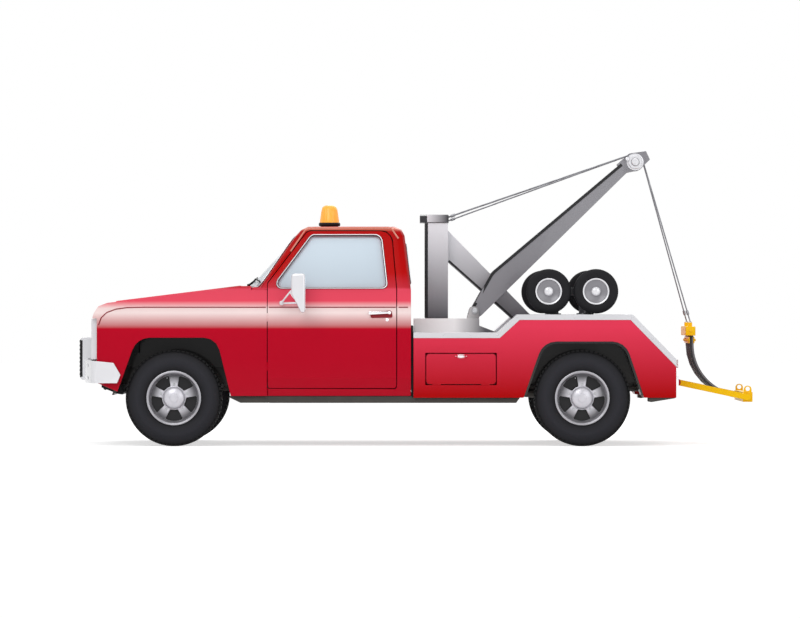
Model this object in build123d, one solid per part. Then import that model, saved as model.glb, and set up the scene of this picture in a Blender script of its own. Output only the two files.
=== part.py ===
# A pickup-based tow truck: ladder frame, hollow cab, side-box wrecker body, fixed mast, raking boom and tow sling.
# Millimetres. The nose points to -X, the left side to -Y and up is +Z. Stations along the truck are measured back
# from the front axle and heights from the ground; every piece is moved to the datum when it is written.
from build123d import *
import math
import os

# Chassis sizes
wheelbase = 3340
frame_half = 430
rail_width = 60
rail_low = 500
rail_high = 640
frame_nose = -640
crossmember_deep = 50
panel_gap = 6
hinge_radius = 5
hinge_long = 70
seat_gap = 0.3
pin_gap = 0.1

# Wheels
tyre_radius = 395
tyre_width = 214
tread_width = 150
bead_radius = 208
rim_wall = 9
rim_width = 176
disc_thick = 12
disc_out = 22
hub_radius = 88
hub_out = 74
drum_radius = 150
drum_in = 43
drum_wide = 28
spindle_radius = 20
spindle_end = 20
spoke_count = 5
spoke_window_inner = 104
spoke_window_outer = 186
spoke_window_degrees = 42
wheel_flats = 28
hub_flats = 12
track_in = 133

# Front axle and steering
kingpin_radius = 12
kingpin_boss = 28
knuckle_web = 11
drum_gap = 6
beam_below = 40
boss_high = 80
ear_thick = 24
steer_arm = 130
tie_rod_radius = 12
spring_half = 400
spring_width = 60
leaf_thick = 12

# Cab
body_half = 1000
belt_in = 35
sill_in = 30
sill_low = 412
sill_bend_high = 560
crease_high = 1128
belt_high = 1285
cowl_high = 1300
cab_nose = 640
door_front = 766
door_rear = 1826
cab_rear = 1940
cab_wall = 60
pillar_wall = 45
floor_low = 650
floor_thick = 40
door_low = 470
door_deep = 265
glass_thick = 6
glass_inset = 10

# Front sheet metal
panel_thick = 20
hood_in = 225
hood_thick = 28
hood_rear = 550
hood_rear_high = 1308
header_front = -665
fender_front = -627
fender_rear_high = 1311
nose_cut_high = 520
hood_low = 1046
grille_in = 45

# Wrecker body
bed_gap = 20
bed_overhang = 767
bed_low = 398
box_wide = 440
deck_high = 925
deck_thick = 20
cap_thick = 45
tail_thick = 25
low_cap = 930
high_cap = 1078
step_ahead = 693
step_run = 162
slope_behind = 412
slope_foot = 714

# Toolbox
toolbox_in = 97
toolbox_ahead = 700
toolbox_low = 502
toolbox_high = 764
toolbox_deep = 380
toolbox_door_thick = 20

# Pedestal and mast
pedestal_long = 545
toe_long = 136
pedestal_high = 1045
pedestal_half = 300
mast_in = 99
mast_deep = 191
mast_half = 170
mast_wall = 12
mast_high = 1842
head_high = 70
head_ahead = 43
head_over = 6
stay_half = 72

# Boom
pivot_in = 510
pivot_high = 1110
boom_pin_radius = 20
leg_thick = 60
leg_base_inner = 170
leg_tip_inner = 62
leg_tip_thick = 40
sheave_before = 294
sheave_high = 2351
sheave_radius = 76
sheave_thick = 42
sheave_groove = 14
line_radius = 6
line_half = 30
pendant_half = 112

# Sling
top_bar_wide = 83
top_bar_tall = 76
top_bar_half = 330
top_bar_behind = 155
top_bar_high = 940
sling_line_half = 250
line_eye_high = 33
belt_radius = 430
belt_thick = 30
belt_wide = 120
belt_count = 4
belt_flats = 8
belt_pitch = 160
low_bar_behind = 577
low_bar_deep = 80
low_bar_low = 355
low_bar_tall = 82
strut_thick = 16
strut_pivot_behind = 33
strut_pivot_high = 518
clevis_gap = 6
clevis_thick = 12
strut_eye = 27
strut_pin_radius = 12
lug_hole_radius = 18
lug_thick = 12
lug_wide = 70

# Stowed dolly wheels
dolly_radius = 183
dolly_width = 92
dolly_rim = 106
dolly_axle = 14
dolly_high = 1268
dolly_in = 185
dolly_front_ahead = 271
dolly_rear_behind = 117
dolly_flats = 16

# What follows from the sizes: widths from the body's, stations from the axles and the bed
track_half = body_half - track_in
kingpin_half = track_half - drum_in - drum_gap - knuckle_web - 2 - kingpin_boss
beam_low = tyre_radius - beam_below
belt_half = body_half - belt_in
nose_half = belt_half - 10
door_inner = belt_half - door_deep
hood_half = body_half - hood_in
grille_half = body_half - grille_in
bed_front = cab_rear + bed_gap
bed_rear = wheelbase + bed_overhang
frame_tail = bed_rear - 67
box_inner = body_half - box_wide
step_front = wheelbase - step_ahead
step_rear = step_front + step_run
slope_front = wheelbase + slope_behind
toolbox_front = bed_front + toolbox_in
toolbox_rear = wheelbase - toolbox_ahead
pedestal_front = bed_front + 4
pedestal_rear = pedestal_front + pedestal_long
mast_front = bed_front + mast_in
mast_rear = mast_front + mast_deep
head_front = mast_front - head_ahead
boom_pivot = (bed_front + pivot_in, pivot_high)
sheave_centre = (bed_rear - sheave_before, sheave_high)
top_bar_centre = (bed_rear + top_bar_behind, top_bar_high)
low_bar_front = bed_rear + low_bar_behind
strut_pivot = (bed_rear + strut_pivot_behind, strut_pivot_high)
strut_half = box_inner - 1 - clevis_thick - clevis_gap - strut_thick / 2
low_bar_half = strut_half - strut_thick / 2 - 5
dolly_half = body_half - dolly_in
dolly_stations = (wheelbase - dolly_front_ahead, wheelbase + dolly_rear_behind)

# Nose to tail extent sets the datum half way along
guard_front = -800
datum = (guard_front + low_bar_front + low_bar_deep) / 2


def flats(radius):
    """How many flats stand for a quarter turn of this radius."""
    return 2 if radius < 40 else 3 if radius < 140 else 4


def rounded(corners):
    """The corners as plain points, each one with a radius turned into an arc of a few flats."""
    points = []
    for i, corner in enumerate(corners):
        here = Vector(corner[0], corner[1])
        if len(corner) < 3:
            points.append(here)
            continue
        radius = corner[2]
        back = (Vector(*corners[i - 1][:2]) - here).normalized()
        ahead = (Vector(*corners[(i + 1) % len(corners)][:2]) - here).normalized()
        half = math.acos(back.dot(ahead)) / 2
        centre = here + (back + ahead).normalized() * (radius / math.sin(half))
        first = here + back * (radius / math.tan(half)) - centre
        start = math.atan2(first.Y, first.X)
        sweep = math.pi - 2 * half
        if back.cross(ahead).Z > 0:
            sweep = -sweep
        steps = flats(radius)
        for step in range(steps + 1):
            angle = start + sweep * step / steps
            points.append(centre + Vector(radius * math.cos(angle), radius * math.sin(angle)))
    return points


def outline(corners, place):
    """A closed flat face through (a, b) or (a, b, radius) corners; place turns a, b into a point."""
    return make_face(Polyline(*[place(point.X, point.Y) for point in rounded(corners)], close=True))


def side_plate(corners, y0, y1):
    """An X-Z outline carried across from y0 to y1."""
    return extrude(outline(corners, lambda a, b: (a, y0, b)), amount=y1 - y0, dir=(0, 1, 0))


def front_plate(corners, x0, x1):
    """A Y-Z outline carried back from x0 to x1."""
    return extrude(outline(corners, lambda a, b: (x0, a, b)), amount=x1 - x0, dir=(1, 0, 0))


def plan_plate(corners, z0, z1):
    """An X-Y outline carried up from z0 to z1."""
    return extrude(outline(corners, lambda a, b: (a, b, z0)), amount=z1 - z0, dir=(0, 0, 1))


def block(x0, x1, y0, y1, z0, z1):
    return Pos((x0 + x1) / 2, (y0 + y1) / 2, (z0 + z1) / 2) * Box(x1 - x0, y1 - y0, z1 - z0)


def sides_of(radius):
    """How many flats a round bar or hole of this radius is drawn with."""
    return 6 if radius < 7 else 8 if radius < 30 else 12 if radius < 61 else 16


def rod(start, end, radius, sides=0, turn=0):
    """A round bar between two points, its corners on the radius."""
    along = Vector(*end) - Vector(*start)
    face = Plane(origin=start, z_dir=along) * RegularPolygon(radius, sides or sides_of(radius), rotation=turn)
    return extrude(face, amount=along.length)


def hole(start, end, radius):
    """What a rod of this radius can turn in: its flats lie on the radius, over the rod's corners."""
    sides = sides_of(radius)
    return rod(start, end, radius / math.cos(math.pi / sides), sides, 180 / sides)


def cross_pin(x, z, radius, y0, y1):
    return rod((x, y0, z), (x, y1, z), radius)


def cross_hole(x, z, radius, y0, y1):
    return hole((x, y0, z), (x, y1, z), radius)


def turned(profile, place, sides):
    """A piece turned about the place's Z axis from (radius, height) corners, drawn with flat sides."""
    faces = []
    for i in range(sides):
        for j, (r0, h0) in enumerate(profile):
            r1, h1 = profile[(j + 1) % len(profile)]
            if max(r0, r1) == 0:
                continue
            near, far = (
                Vector(math.cos(math.tau * k / sides), math.sin(math.tau * k / sides)) for k in (i, i + 1)
            )
            up0, up1 = Vector(0, 0, h0), Vector(0, 0, h1)
            corners = [near * r0 + up0, near * r1 + up1]
            if r1:
                corners.append(far * r1 + up1)
            if r0:
                corners.append(far * r0 + up0)
            faces.append(make_face(Polyline(*corners, close=True)).face())
    solid = Solid(Shell(faces)).clean()
    return place * solid


def ring(profile, x, y, z, sides=wheel_flats):
    """A turned piece about the Y axis through x, y, z, from (radius, offset) corners."""
    return turned(profile, Plane(origin=(x, y, z), x_dir=(1, 0, 0), z_dir=(0, 1, 0)), sides)


def between(rings):
    """A closed solid through rings of matching points, its ends flat."""
    faces = [make_face(Polyline(*end, close=True)).face() for end in (rings[0], rings[-1])]
    for low, high in zip(rings, rings[1:]):
        for i in range(len(low)):
            k = (i + 1) % len(low)
            for corners in ((low[i], low[k], high[k]), (low[i], high[k], high[i])):
                faces.append(make_face(Polyline(*corners, close=True)).face())
    return Solid(Shell(faces)).clean()


def left_of(shape):
    return mirror(shape, about=Plane.XZ)


def both(shape):
    return [shape, left_of(shape)]


def hinged(leaf, hinges, moving):
    """A leaf with its hinge knuckles and room for the other leaf's; the swinging leaf has the middle ones."""
    for start, along in hinges:
        slack = along.normalized() * seat_gap
        for first, last in ((0, 0.3), (0.3, 0.7), (0.7, 1)):
            low, high = start + along * first, start + along * last
            if (first == 0.3) == moving:
                leaf += rod(tuple(low + slack), tuple(high - slack), hinge_radius)
            else:
                leaf -= hole(tuple(low), tuple(high), hinge_radius + pin_gap)
    return leaf


def offset_path(points, away):
    """The same open path moved sideways by away, with mitred corners."""
    moved = []
    for i, (x, z) in enumerate(points):
        turns = []
        for a, b in ((i - 1, i), (i, i + 1)):
            if 0 <= a and b < len(points):
                dx, dz = points[b][0] - points[a][0], points[b][1] - points[a][1]
                length = math.hypot(dx, dz)
                turns.append((-dz / length, dx / length))
        nx = sum(t[0] for t in turns) / len(turns)
        nz = sum(t[1] for t in turns) / len(turns)
        scale = away / (nx * nx + nz * nz)
        moved.append((x + nx * scale, z + nz * scale))
    return moved


def save(name, *shapes):
    pieces = [Pos(-datum, 0, 0) * piece for shape in shapes for piece in shape.solids()]
    export_step(Compound(children=pieces) if len(pieces) > 1 else pieces[0], f"parts/{name}.step")


# Road wheels


def tyre():
    half = tyre_width / 2
    bore = bead_radius + seat_gap
    profile = [
        (bore, -rim_width / 2 + rim_wall),
        (tyre_radius - 90, -half),
        (tyre_radius, -tread_width / 2),
        (tyre_radius, tread_width / 2),
        (tyre_radius - 90, half),
        (bore, rim_width / 2 - rim_wall),
    ]
    return ring(profile, 0, 0, 0)


def wheel():
    """Rim with five windows, domed hub and brake drum; the outer face looks to +Y."""
    inner = bead_radius - rim_wall
    half = rim_width / 2
    barrel = ring([(inner, -half), (bead_radius, -half), (bead_radius, half), (inner, half)], 0, 0, 0)
    disc = rod((0, disc_out - disc_thick, 0), (0, disc_out, 0), inner + rim_wall / 2, wheel_flats)
    disc -= cross_hole(0, 0, spindle_radius + 2, 0, disc_out + 1)
    for i in range(spoke_count):
        middle = math.tau * i / spoke_count - math.pi / 2
        spread = math.radians(spoke_window_degrees / 2)
        corners = []
        for radius, share in (
            (spoke_window_inner, -0.72),
            (spoke_window_outer, -1),
            (spoke_window_outer, 1),
            (spoke_window_inner, 0.72),
        ):
            angle = middle + spread * share
            corners.append((radius * math.cos(angle), radius * math.sin(angle)))
        disc -= side_plate(corners, 0, disc_out + 1)
    bore = (spindle_radius + pin_gap) / math.cos(math.pi / hub_flats)
    hub = ring(
        [
            (bore, -drum_in),
            (drum_radius, -drum_in),
            (drum_radius, -drum_in + drum_wide),
            (hub_radius, -drum_in + drum_wide),
            (hub_radius, hub_out - 24),
            (0, hub_out),
            (0, spindle_end + 4),
            (bore, spindle_end + 4),
        ],
        0,
        0,
        0,
        hub_flats,
    )
    return barrel + disc + hub


def road_wheels():
    for name, x in (("front", 0), ("rear", wheelbase)):
        place = Pos(x, track_half, tyre_radius)
        for side, turn in (("right", lambda s: s), ("left", left_of)):
            save(f"wheel_{name}_{side}", turn(place * wheel()))
            save(f"tyre_{name}_{side}", turn(place * tyre()))


# Frame, axles and driveline


def frame():
    """Ladder frame with cab pads, bed bearers and the black side sills on outriggers."""
    rails = None
    for y0 in (-frame_half, frame_half - rail_width):
        rail = block(frame_nose, frame_tail, y0, y0 + rail_width, rail_low, rail_high)
        channel = block(frame_nose, frame_tail, y0, y0 + rail_width, rail_low + 10, rail_high - 10)
        web = block(frame_nose, frame_tail, y0, y0 + 12, rail_low, rail_high)
        if y0 > 0:
            web = block(frame_nose, frame_tail, y0 + rail_width - 12, y0 + rail_width, rail_low, rail_high)
        piece = rail - channel + web
        rails = piece if rails is None else rails + piece
    inner = frame_half - 12
    for x in (1250, bed_front + 140, wheelbase - 390, wheelbase + 420):
        rails += block(x - 40, x + 40, -inner, inner, rail_high - crossmember_deep, rail_high)
    for x in (frame_nose, frame_tail - 60):
        rails += block(x, x + 60, -inner, inner, rail_low, rail_high)
    return rails


def outriggers():
    """Side sills with the brackets that hang them from the rails."""
    x0, x1, step = door_front + 14, wheelbase - 540, cab_rear + 8
    under_bed, under_cab, foot = bed_low - seat_gap, sill_low - seat_gap, bed_low - 43
    inner = body_half - 100
    corners = [(x0 - 30, under_cab), (x0, foot), (x1, foot), (x1 + 30, under_bed)]
    sill = side_plate(corners + [(step, under_bed), (step, under_cab)], inner, inner + 60)
    for x in (x0 + 120, x0 + 720, bed_front + 40, x1 - 100):
        sill += block(x - 30, x + 30, frame_half, inner + 5, bed_low - 40, bed_low - 2)
        sill += block(x - 30, x + 30, frame_half, frame_half + 10, bed_low - 40, rail_high - 20)
    return both(sill)


def leaf_spring(x, eye_high, seat_high, half_length):
    """Two stacked leaves under the rail, straight across the axle seat, with rolled eyes."""
    rise = eye_high - seat_high
    inner, outer = spring_half - spring_width / 2, spring_half + spring_width / 2
    spring = None
    for step, share in enumerate((1, 0.6)):
        reach = half_length * share
        low = seat_high - step * leaf_thick
        lift = rise * share
        upper = [(x - reach, low + lift), (x - 90, low), (x + 90, low), (x + reach, low + lift)]
        under = [(a, b - leaf_thick) for a, b in reversed(upper)]
        leaf = side_plate(upper + under, inner, outer)
        spring = leaf if spring is None else spring + leaf
    for end in (-1, 1):
        ex = x + end * half_length
        spring += cross_pin(ex, eye_high - leaf_thick / 2, 20, inner, outer)
        spring += block(ex - 16, ex + 16, spring_half - 12, spring_half + 12, eye_high, rail_low)
    return spring


def front_axle():
    seat = tyre_radius + 25
    low, top = beam_low, beam_low + boss_high
    bend, drop = kingpin_half - 177, kingpin_half - 257
    half = [(drop, low - 20), (bend, low), (kingpin_half, low)]
    half += [(kingpin_half, top), (bend, low + 65), (drop, low + 29)]
    axle = front_plate(half + [(-y, z) for y, z in reversed(half)], -26, 26)
    for y in (-kingpin_half, kingpin_half):
        boss = rod((0, y, low), (0, y, top), kingpin_boss)
        outboard = (y, y + 40) if y > 0 else (y - 40, y)
        trim = block(-40, 40, *outboard, low - 15, top + 15)
        axle = axle - (trim - boss) + boss
        axle -= hole((0, y, low - 5), (0, y, top + 5), kingpin_radius + pin_gap)
    for y in (-spring_half, spring_half):
        axle += block(-60, 60, y - 32, y + 32, low + 17, seat - 2 * leaf_thick)
    springs = both(leaf_spring(0, seat + 58, seat, 590))
    return axle + springs[0] + springs[1]


def knuckle():
    """Fork round the axle boss with kingpin, spindle and steering arm, for the right side."""
    low, high = beam_low - seat_gap - ear_thick, beam_low + boss_high + seat_gap
    web = kingpin_half + kingpin_boss + 2
    face = web + knuckle_web
    fork = None
    for z in (low, high):
        ear = rod((0, kingpin_half, z), (0, kingpin_half, z + ear_thick), kingpin_boss)
        ear += block(-24, 24, kingpin_half, face - 2, z, z + ear_thick)
        fork = ear if fork is None else fork + ear
    fork += block(-24, 24, web, face, low, high + ear_thick)
    fork += rod((0, kingpin_half, low), (0, kingpin_half, high + ear_thick), kingpin_radius)
    fork += cross_pin(0, tyre_radius, spindle_radius, face - 2, track_half + spindle_end)
    fork += block(0, steer_arm, kingpin_half - 14, kingpin_half + 14, low, low + ear_thick)
    fork += rod((steer_arm, kingpin_half, low), (steer_arm, kingpin_half, low + ear_thick), 18)
    return fork


def tie_rod():
    low = beam_low - seat_gap - ear_thick
    centre = low - seat_gap - tie_rod_radius
    bar = rod((steer_arm, -kingpin_half, centre), (steer_arm, kingpin_half, centre), tie_rod_radius)
    for y in (-kingpin_half, kingpin_half):
        bar += rod((steer_arm, y, centre - 14), (steer_arm, y, low - seat_gap), 18)
    return bar


def rear_axle():
    x, z = wheelbase, tyre_radius
    plate = track_half - drum_in - drum_gap - 18
    tube = cross_pin(x, z, 42, -plate, plate)
    housing = ring([(0, -120), (70, -120), (140, -50), (140, 50), (70, 120), (0, 120)], x, 0, z, 12)
    nose = rod((x - 130, 0, z + 12), (x - 175, 0, z + 12), 55)
    axle = tube + housing + nose
    for side in (-1, 1):
        near, far, end = side * plate, side * (plate + 14), side * (track_half + spindle_end)
        axle += rod((x, near, z), (x, far, z), 130, 12)
        axle += rod((x, near + side * 10, z), (x, end, z), spindle_radius)
        axle += block(x - 50, x + 50, side * spring_half - 32, side * spring_half + 32, z + 20, z + 58)
    springs = both(leaf_spring(x, z + 87, z + 58 + 2 * leaf_thick - 4, 620))
    return axle + springs[0] + springs[1]


def driveline():
    """Gearbox tapering back from the engine, and the propeller shaft to the axle nose."""
    start, end = (1110, 0, 540), (wheelbase - 178, 0, tyre_radius + 12)
    rings = []
    for x, half, low, high in ((380 + seat_gap, 170, 440, 640), (1110, 80, 480, 600)):
        rings.append([(x, -half, low), (x, half, low), (x, half, high), (x, -half, high)])
    case = between(rings)
    shaft = rod(start, end, 38)
    return case + shaft


def engine():
    return block(-330, 380, -290, 290, 520, 1010) + block(-200, 380, -240, 240, 470, 520)


def exhaust():
    y, z = 270, rail_high - crossmember_deep - 56
    path = rod((380 + seat_gap, y, z), (1420, y, z), 26)
    path += rod((1400, y, z), (1950, y, z), 56)
    end = wheelbase - 790
    path += rod((1930, y, z), (end + 10, y, z), 26)
    path += rod((end, y, z), (end + 90, y, z - 90), 26)
    return path


def fuel_tank():
    top = rail_high - crossmember_deep
    front, rear, half = wheelbase + 240, wheelbase + 620, frame_half - 100
    corners = [(front, -half, 60), (rear, -half, 60), (rear, half, 60), (front, half, 60)]
    return plan_plate(corners, top - 150, top)


# Cab


def door_hinges():
    """Start and length of each hinge of the right door, in the gap at its outer front corner."""
    return [(Vector(door_front, body_half, z), Vector(0, 0, hinge_long)) for z in (620, 1020)]


def hood_hinges():
    return [(Vector(*hood_pivot(y)), Vector(0, hinge_long, 0)) for y in (-600, 600 - hinge_long)]


def hood_pivot(y):
    return (hood_rear + panel_gap / 2, y, hood_rear_high)


def toolbox_hinges():
    middle = (toolbox_front + toolbox_rear) / 2
    low = toolbox_low + panel_gap / 2
    return [
        (Vector(middle + offset - hinge_long / 2, body_half, low), Vector(hinge_long, 0, 0))
        for offset in (-200, 200)
    ]


# Level of the cab above its belt: height, front centre, front corner, half widths at the corner and side, rear
cab_levels = (
    (belt_high, 560, 700, belt_half - 40, belt_half, cab_rear),
    (1725, 975, 1000, belt_half - 205, belt_half - 153, cab_rear - 52),
    (1775, 1022, 1042, belt_half - 243, belt_half - 183, cab_rear - 78),
    (1800, 1078, 1094, belt_half - 301, belt_half - 230, cab_rear - 132),
)
corner_cut = 60
windshield_flats = 4


def cab_ring(z, middle, corner, corner_half, half, rear):
    """One level of the cab's outline: the bowed windshield, then the left side, the rear and the right side."""
    ring_points = []
    for i in range(windshield_flats + 1):
        share = 1 - 2 * i / windshield_flats
        ring_points.append((middle + (corner - middle) * share**2, corner_half * share, z))
    side = [(corner + corner_cut, half), (rear - corner_cut, half)]
    side += [(rear - corner_cut * 0.3, half - corner_cut * 0.3), (rear, half - corner_cut)]
    ring_points += [(x, -y, z) for x, y in side]
    ring_points += [(x, y, z) for x, y in reversed(side)]
    return ring_points


def greenhouse(inset):
    """The cab above the belt as one closed form, its skin moved in by inset."""
    levels = []
    for i, (z, middle, corner, corner_half, half, rear) in enumerate(cab_levels):
        down = inset if i else 0
        levels.append(
            cab_ring(
                z - down,
                middle + 1.4 * inset - down,
                corner + 1.2 * inset - down,
                corner_half - inset,
                half - inset,
                rear - inset,
            )
        )
    return between(levels)


def tub_section(inset):
    sill_half = body_half - sill_in
    return [
        (-sill_half + inset, sill_low),
        (-body_half + inset, sill_bend_high),
        (-body_half + inset, crease_high),
        (-belt_half + inset, belt_high),
        (belt_half - inset, belt_high),
        (body_half - inset, crease_high),
        (body_half - inset, sill_bend_high),
        (sill_half - inset, sill_low),
    ]


def cab_skin():
    """The full outer form behind the fenders, roof to sills."""
    return front_plate(tub_section(0), door_front, cab_rear) + greenhouse(0)


def inner_form(more):
    """The form inside the cab's walls, moved in by more."""
    tub = front_plate(tub_section(cab_wall + more), cab_nose + 50, cab_rear - 50)
    return tub + greenhouse(pillar_wall + more)


def cab_core():
    """The cabin space above the floor."""
    return inner_form(0) & block(0, 3000, -2000, 2000, floor_low + floor_thick, 2000)


def door_outline(grow):
    return [
        (door_front + panel_gap / 2 - grow, door_low + panel_gap - grow, 20),
        (door_front + panel_gap / 2 - grow, 1333 + grow / 2, 30),
        (1094 - grow, 1762 + grow, 50),
        (door_rear - 48 + grow, 1762 + grow, 95),
        (door_rear - panel_gap + grow, belt_high, 20),
        (door_rear - panel_gap + grow, door_low + panel_gap - grow, 20),
    ]


def cab_opening(low, high, low_in, high_in):
    """A window across the cab, its foot and head so far in from the belt's ends."""
    foot, head = belt_half - low_in, belt_half - high_in
    return [(-foot, low, 38), (-head, high, 38), (head, high, 38), (foot, low, 38)]


window_rear = door_rear - 88
side_window = [(846, 1300, 30), (856, 1352, 25), (1128, 1722, 45)]
side_window += [(window_rear - 48, 1722, 50), (window_rear, 1300, 30)]
windshield_opening = cab_opening(1308, 1706, 103, 265)
rear_opening = cab_opening(1345, 1650, 365, 405)


def cab_shell():
    nose = block(cab_nose, door_front, -nose_half, nose_half, sill_low, cowl_high)
    nose += block(hood_rear + panel_gap, cab_nose + 10, -hood_half, hood_half, cowl_high - 45, cowl_high)
    shell = cab_skin() + nose - cab_core()
    under = block(0, 3000, 120 - body_half, body_half - 120, 0, floor_low)
    shell -= under
    within = inner_form(panel_gap)
    for opening in both(side_plate(door_outline(panel_gap), door_inner - panel_gap, body_half + 200)):
        shell -= opening - within
    shell -= front_plate(windshield_opening, 300, 1130)
    shell -= front_plate(rear_opening, 1800, 2100)
    rear = hood_rear + panel_gap
    for start, along in hood_hinges():
        shell += block(rear, rear + 12, start.Y, start.Y + hinge_long, cowl_high - 20, hood_rear_high)
    return hinged(shell, hood_hinges(), False)


def cab_glass():
    pane = greenhouse(glass_inset) - greenhouse(glass_inset + glass_thick)
    front = pane & front_plate(windshield_opening, 300, 1130)
    rear = pane & front_plate(rear_opening, 1800, 2100)
    return [front, rear]


def door():
    """The right door: as thick as the cab wall, with its window cut."""
    solid = (cab_skin() & side_plate(door_outline(0), door_inner, body_half + 200)) - inner_form(0)
    solid -= side_plate(side_window, door_inner - 100, body_half + 200)
    return hinged(solid, door_hinges(), True)


def door_glass():
    pane = greenhouse(20) - greenhouse(20 + glass_thick)
    return pane & side_plate(side_window, door_inner - 100, body_half + 200)


def mirror_and_handle():
    """West-coast mirror head on two arms, and the pull handle, right side."""
    head = side_plate(
        [(967, 1250, 30), (967, 1411, 12), (1080, 1411, 12), (1080, 1093, 10), (1050, 1093, 20)],
        body_half + 60,
        body_half + 225,
    )
    reach = body_half + 90
    head += rod((884, body_half - 8, 1172), (884, body_half + 20, 1172), 18)
    head += rod((884, body_half + 10, 1172), (990, reach, 1290), 8)
    head += rod((884, body_half + 10, 1172), (1040, reach, 1172), 8)
    grip = [(1590, 1076), (1590, 1104), (1778, 1104), (1778, 1088)]
    grip = side_plate(grip, body_half + seat_gap, body_half + 22)
    return [head - block(800, 900, body_half - 100, body_half + seat_gap, 1100, 1200), grip]


def bench_seat():
    half = body_half - 220
    cushion = side_plate([(1290, 850, 40), (1290, 990, 45), (1760, 965), (1760, 850)], -half, half)
    back = [(1730, 965), (1818, 1500, 30), (1860, 1500, 10), (1860, 850), (1760, 850), (1760, 965)]
    back = side_plate(back, -half, half)
    base = block(1340, 1800, 80 - half, half - 80, floor_low + floor_thick, 850)
    return cushion + back + base


column_foot = (712, -400, 907)
wheel_hub = (1075, -400, 1123)
wheel_hub_back = 28


def dashboard():
    half = body_half - cab_wall - 50
    front = cab_nose + 50
    section = [(front, 1000), (front, 1240), (860, 1262, 30), (930, 1180, 20), (890, 1010, 20)]
    panel = side_plate(section, -half, half)
    along = Vector(*wheel_hub) - Vector(*column_foot)
    end = Vector(*wheel_hub) - along.normalized() * (wheel_hub_back + seat_gap)
    return panel + rod(column_foot, (end.X, end.Y, end.Z), 30)


def steering_wheel():
    along = (Vector(*wheel_hub) - Vector(*column_foot)).normalized()
    here = Plane(origin=wheel_hub, z_dir=along, x_dir=(0, 1, 0))
    rim = turned([(177, -8), (190, -14), (203, -8), (203, 8), (190, 14), (177, 8)], here, 16)
    hub = turned([(0, -wheel_hub_back), (38, -wheel_hub_back), (38, 8), (0, 8)], here, 8)
    spokes = here * (Pos(0, 0, -6) * Box(376, 30, 10))
    spokes += here * (Pos(0, -95, -6) * Box(30, 186, 10))
    return rim + hub + spokes


# Front sheet metal


def clip_form(inset):
    """Fenders and hood as one solid: the side profile carried across, its shoulders leaned in."""
    side = side_plate(
        [
            (fender_front, 380),
            (fender_front, hood_low),
            (header_front + inset, hood_low),
            (-652 + inset, 1090 - inset * 0.4),
            (-615 + inset * 0.6, 1145 - inset * 0.8),
            (-543, 1173 - inset),
            (cab_nose - 80, fender_rear_high - inset),
            (door_front, fender_rear_high - inset),
            (door_front, 380),
        ],
        -body_half - 100,
        body_half + 100,
    )
    reach, lean = body_half - inset, body_half - 60 - inset
    right = [(lean, 1400), (reach, crease_high), (reach, 380)]
    return side & front_plate([(-y, z) for y, z in reversed(right)] + right, -800, door_front)


def wheel_arch(x, ahead, behind, crown_in, over, rear_bend):
    """An arch about an axle: its feet so far ahead of and behind the tyre, its crown so far over it."""
    front, rear, crown = x - tyre_radius, x + tyre_radius, 2 * tyre_radius + over
    feet = (front - ahead, 330), (rear + behind, 330)
    return [feet[0], (front + crown_in, crown, 150), (rear - 45, crown, rear_bend), feet[1]]


front_arch = wheel_arch(0, 105, 93, 95, 98, 130)
rear_arch = wheel_arch(wheelbase, 109, 133, 75, 67, 150)


def arch_grown(arch, grow):
    (a, b), (c, d, e), (f, g, h), (i, j) = arch
    return [(a - grow, b), (c - grow, d + grow, e), (f + grow, g + grow, h), (i + grow, j)]


def fender():
    """The right front fender, one panel from the grille to the door."""
    skin = clip_form(0) - clip_form(panel_thick)
    outer = body_half + 100
    panel = skin & block(-700, door_front - panel_gap / 2, hood_half + panel_gap, outer, sill_low, 1400)
    panel -= block(cab_nose - panel_gap, 800, 0, nose_half + panel_gap, 300, 1400)
    panel -= block(cab_nose - panel_gap, 800, 0, outer, belt_high - panel_gap, 1400)
    panel -= side_plate(front_arch, hood_half - 75, outer)
    panel -= block(fender_front + panel_thick, 900, hood_half - 75, body_half - panel_thick, 300, 900)
    ahead, behind = fender_front - 100, fender_front + 255
    cut = [(ahead, 300), (ahead, nose_cut_high + 42), (behind, sill_low), (behind, 300)]
    panel -= side_plate(cut, hood_half - 75, outer)
    return hinged(panel, door_hinges(), False)


def hood():
    skin = clip_form(0) - clip_form(hood_thick)
    lid = skin & block(-700, hood_rear, -hood_half, hood_half, hood_low + 4, 1400)
    raised = side_plate(
        [(-520, 1176 - 10), (-500, 1190), (hood_rear - 20, 1318), (hood_rear, 1300)], -420, 420
    )
    lid += raised - clip_form(hood_thick - 2)
    return hinged(lid, hood_hinges(), True)


def wheel_liners():
    """Black wheelhouses of the right side: an arch strip with an inner wall, one over each wheel."""
    tyre_inner = track_half - tyre_width / 2
    for arch, grow, inner, outer, wall_low in (
        (front_arch, 34, tyre_inner - 260, body_half - panel_thick - seat_gap, rail_high),
        (rear_arch, -seat_gap, tyre_inner - 60, body_half - 6, 520),
    ):
        front, rear = arch[0][0] - 100, arch[-1][0] + 100
        shell = side_plate(arch_grown(arch, grow), inner, outer)
        shell -= side_plate(arch_grown(arch, grow - 14), inner - 10, outer + 10)
        shell &= block(front, rear, 0, body_half, sill_low + 8, deck_high + cap_thick)
        wall = side_plate(arch_grown(arch, grow - 10), inner, inner + 12)
        wall &= block(front, rear, 0, body_half, wall_low, deck_high + cap_thick)
        yield shell + wall


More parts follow.
